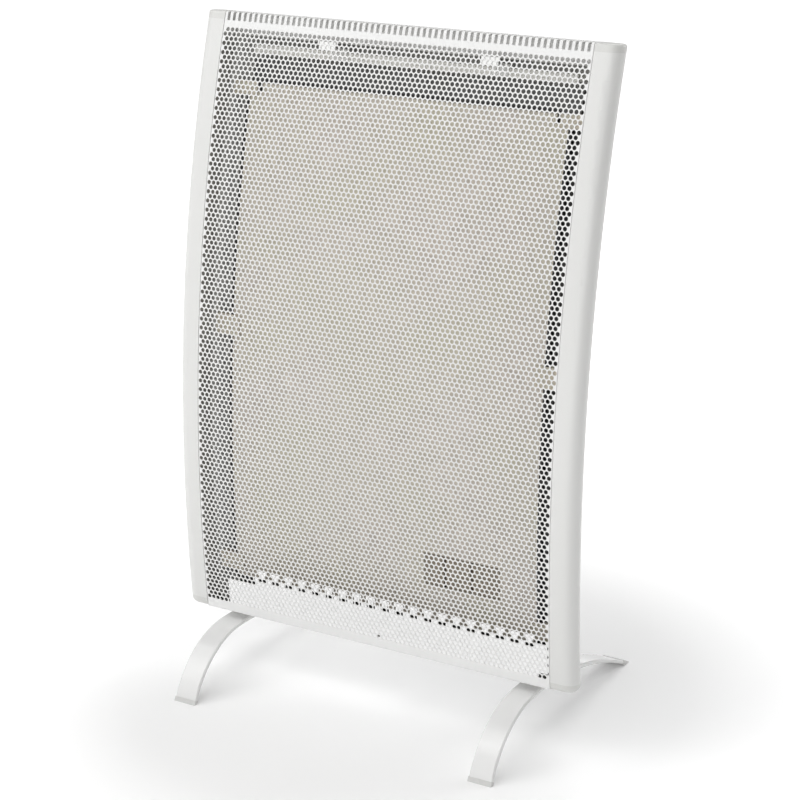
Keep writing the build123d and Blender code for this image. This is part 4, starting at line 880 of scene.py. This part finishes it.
class BodyOperator(bpy.types.Operator):
    """Finish the posts, their caps, the cover and the handle"""

    bl_idname = "heater.body"
    bl_label = "Body"

    def execute(self, context):
        colours = settings()[1]
        post, cap_colour_and_shade = tuple(colours.post), tuple(colours.cap_colour_and_shade)
        paint, box = tuple(colours.paint), tuple(colours.box)
        satin = sprayed_paint(
            "Satin paint on drawn aluminium", post, roughness=0.38, peel=1.4, depth=0.01
        )
        dress(satin, "left_post", "right_post")
        # The caps' colour carries painted shade for their grey tops
        nylon = moulded("Moulded nylon caps", cap_colour_and_shade, roughness=0.38, grain=0.7, depth=0.01)
        dress(nylon, *every("_cap"))
        # Painted shade: the colour of the cover's inner faces
        inner_shade = linear("#B4B3AF")
        cover = paint_with_painted_inner_shade("Powder-coated cover", paint, inner_shade, depth=-60.0)
        dress(cover, "back_cover")
        # Painted shade, deeper still: the colour of the base plate's inner faces
        inner_shade = linear("#4A4946")
        base = paint_with_painted_inner_shade("Powder-coated base", paint, inner_shade, depth=12.0)
        dress(base, "base_plate")
        coat = sprayed_paint(
            "Powder coat on brackets", paint, roughness=0.45, peel=1.6, depth=0.012
        )
        dress(coat, *every("saddle"))
        # White enamel set brighter than the body paint: painted light against the sheet's shade
        white = linear("#FDFDFD")
        enamel = sprayed_paint("White shield enamel", white, roughness=0.5, peel=1.6, depth=0.01)
        dress(enamel, "lower_shield")
        grip = moulded("Grained polypropylene handle", box, roughness=0.5, grain=0.9, depth=0.02)
        dress(grip, "carry_handle")
        return {"FINISHED"}


class FeetOperator(bpy.types.Operator):
    """Finish the two arched feet and their tips"""

    bl_idname = "heater.feet"
    bl_label = "Feet"

    def execute(self, context):
        colours = settings()[1]
        foot, tip = tuple(colours.foot), tuple(colours.tip)
        gloss = sprayed_paint(
            "Gloss enamel on steel strip", foot, roughness=0.2, peel=3.0, depth=0.008, coat=0.4
        )
        dress(gloss, "left_foot", "right_foot")
        tips = moulded("Moulded foot tips", tip, roughness=0.3, grain=0.8, depth=0.006)
        dress(tips, *every("foot_tips"))
        return {"FINISHED"}


class ElementOperator(bpy.types.Operator):
    """Finish the heating element and what holds it behind the front sheet"""

    bl_idname = "heater.element"
    bl_label = "Element"

    def execute(self, context):
        colours = settings()[1]
        dress(pressed_mica(tuple(colours.mica)), *every("mica_"))
        alloy = linear("#8D857C")
        ribbon = rolled("Oxidised resistance alloy", alloy, roughness=0.4, line=0.8)
        dress(ribbon, "heating_ribbon")
        # Painted shade: near black for the channels and the top and bottom bars of the element
        black = linear("#333231")
        edges = sprayed_paint(
            "Blackened steel", black, roughness=0.5, peel=1.0, depth=0.01, drift=0.8
        )
        dress(edges, *every("element_channel", "element_top", "element_bottom"))
        cream = linear("#D8CFBE")
        brackets = glazed("Cream steatite brackets", cream, roughness=0.4, grain=1.5)
        dress(brackets, "element_brackets")
        white = linear("#F4F4F2")
        clips = moulded("Moulded clips", white, roughness=0.4, grain=0.7, depth=0.006)
        dress(clips, "grille_clips")
        pale = linear("#E4E3DD")
        rail = sprayed_paint("Painted rail", pale, roughness=0.5, peel=1.6, depth=0.01)
        dress(rail, "top_rail")
        # Painted shade: the reflector is a deep grey, for the shade far behind the element
        grey = linear("#6B6B6A")
        dress(rolled("Dulled reflector", grey, roughness=0.5, line=1.2), "reflector")
        zinc = linear("#B8BCBE")
        cutout = galvanised("Zinc-plated cut-out", zinc, roughness=0.35, spangle=3.0)
        dress(cutout, "thermal_cutout")
        ceramic = tuple(colours.ceramic)
        block = glazed("Grey-brown steatite block", ceramic, roughness=0.35, grain=1.5)
        dress(block, "terminal_block")
        glass = linear("#DCD6C6")
        dress(braided("Glass-fibre sleeve", glass, strand=0.8), "lead_wires")
        return {"FINISHED"}


class ControlsOperator(bpy.types.Operator):
    """Finish the control box, its knob, switches and lamp"""

    bl_idname = "heater.controls"
    bl_label = "Controls"

    def execute(self, context):
        colours = settings()[1]
        box, fascia, knob = tuple(colours.box), tuple(colours.fascia), tuple(colours.knob)
        case = moulded("Grained box moulding", box, roughness=0.5, grain=0.9, depth=0.02)
        dress(case, "control_box")
        panel = moulded("Fascia moulding", fascia, roughness=0.42, grain=0.6, depth=0.008)
        dress(panel, "control_fascia")
        turned = moulded("Knob moulding", knob, roughness=0.32, grain=0.8, depth=0.006)
        dress(turned, "thermostat_knob")
        black = linear("#1D1E20")
        switch = moulded(
            "Dark switch moulding", black, roughness=0.35, grain=0.8, depth=0.006, speckle=0.85
        )
        dress(switch, *every("switch_housing", "_rocker", "tip_switch_bracket"))
        zinc = linear("#C0C4C6")
        plated = galvanised("Zinc-plated parts", zinc, roughness=0.35, spangle=3.0)
        dress(plated, "thermostat", "thermostat_shaft")
        dress(plated, *every("tip_switch_pin", "tip_switch_pendulum", "screws"))
        soot = linear("#17181A")
        rubber = moulded(
            "Black rubber and nylon", soot, roughness=0.6, grain=0.7, depth=0.02, speckle=0.8
        )
        dress(rubber, "cord_gland", "lead_grommet")
        dress(self.lens(tuple(colours.lamp)), "indicator_lamp")
        return {"FINISHED"}

    def lens(self, rgba):
        """Amber polycarbonate: a clear coloured lens that part of the light passes through."""
        material, tree, _ = blank("Amber polycarbonate lens")
        clear = {"Roughness": 0.12, "IOR": 1.58, "Transmission Weight": 0.45}
        return finished(material, tree, rgba, constants=clear)


class HeaterPanel(bpy.types.Panel):
    """Sidebar panel that lists the pieces and the settings"""

    bl_idname = "VIEW3D_PT_heater"
    bl_label = "Mica panel heater"
    bl_space_type = "VIEW_3D"
    bl_region_type = "UI"
    bl_category = "Heater"

    def draw(self, context):
        for operator in OPERATORS:
            self.layout.operator(operator.bl_idname)
        for group in settings():
            box = self.layout.box()
            for key in group.bl_rna.properties.keys():
                if key not in ("name", "rna_type"):
                    box.prop(group, key)


GROUPS = (
    ("heater_sizes", HeaterSizes),
    ("heater_colours", HeaterColours),
    ("heater_stage", HeaterStage),
)
OPERATORS = (
    StageOperator,
    GrilleOperator,
    BodyOperator,
    FeetOperator,
    ElementOperator,
    ControlsOperator,
)


def register():
    for name, group in GROUPS:
        bpy.utils.register_class(group)
        setattr(bpy.types.Scene, name, PointerProperty(type=group))
    for operator in (*OPERATORS, HeaterPanel):
        bpy.utils.register_class(operator)


def unregister():
    for operator in (HeaterPanel, *OPERATORS):
        bpy.utils.unregister_class(operator)
    for name, group in GROUPS:
        delattr(bpy.types.Scene, name)
        bpy.utils.unregister_class(group)


def main():
    """Build the scene."""
    register()
    bpy.context.scene.view_settings.view_transform = "Standard"
    for operator in OPERATORS:
        family, name = operator.bl_idname.split(".")
        getattr(getattr(bpy.ops, family), name)()


if __name__ == "__main__":
    main()
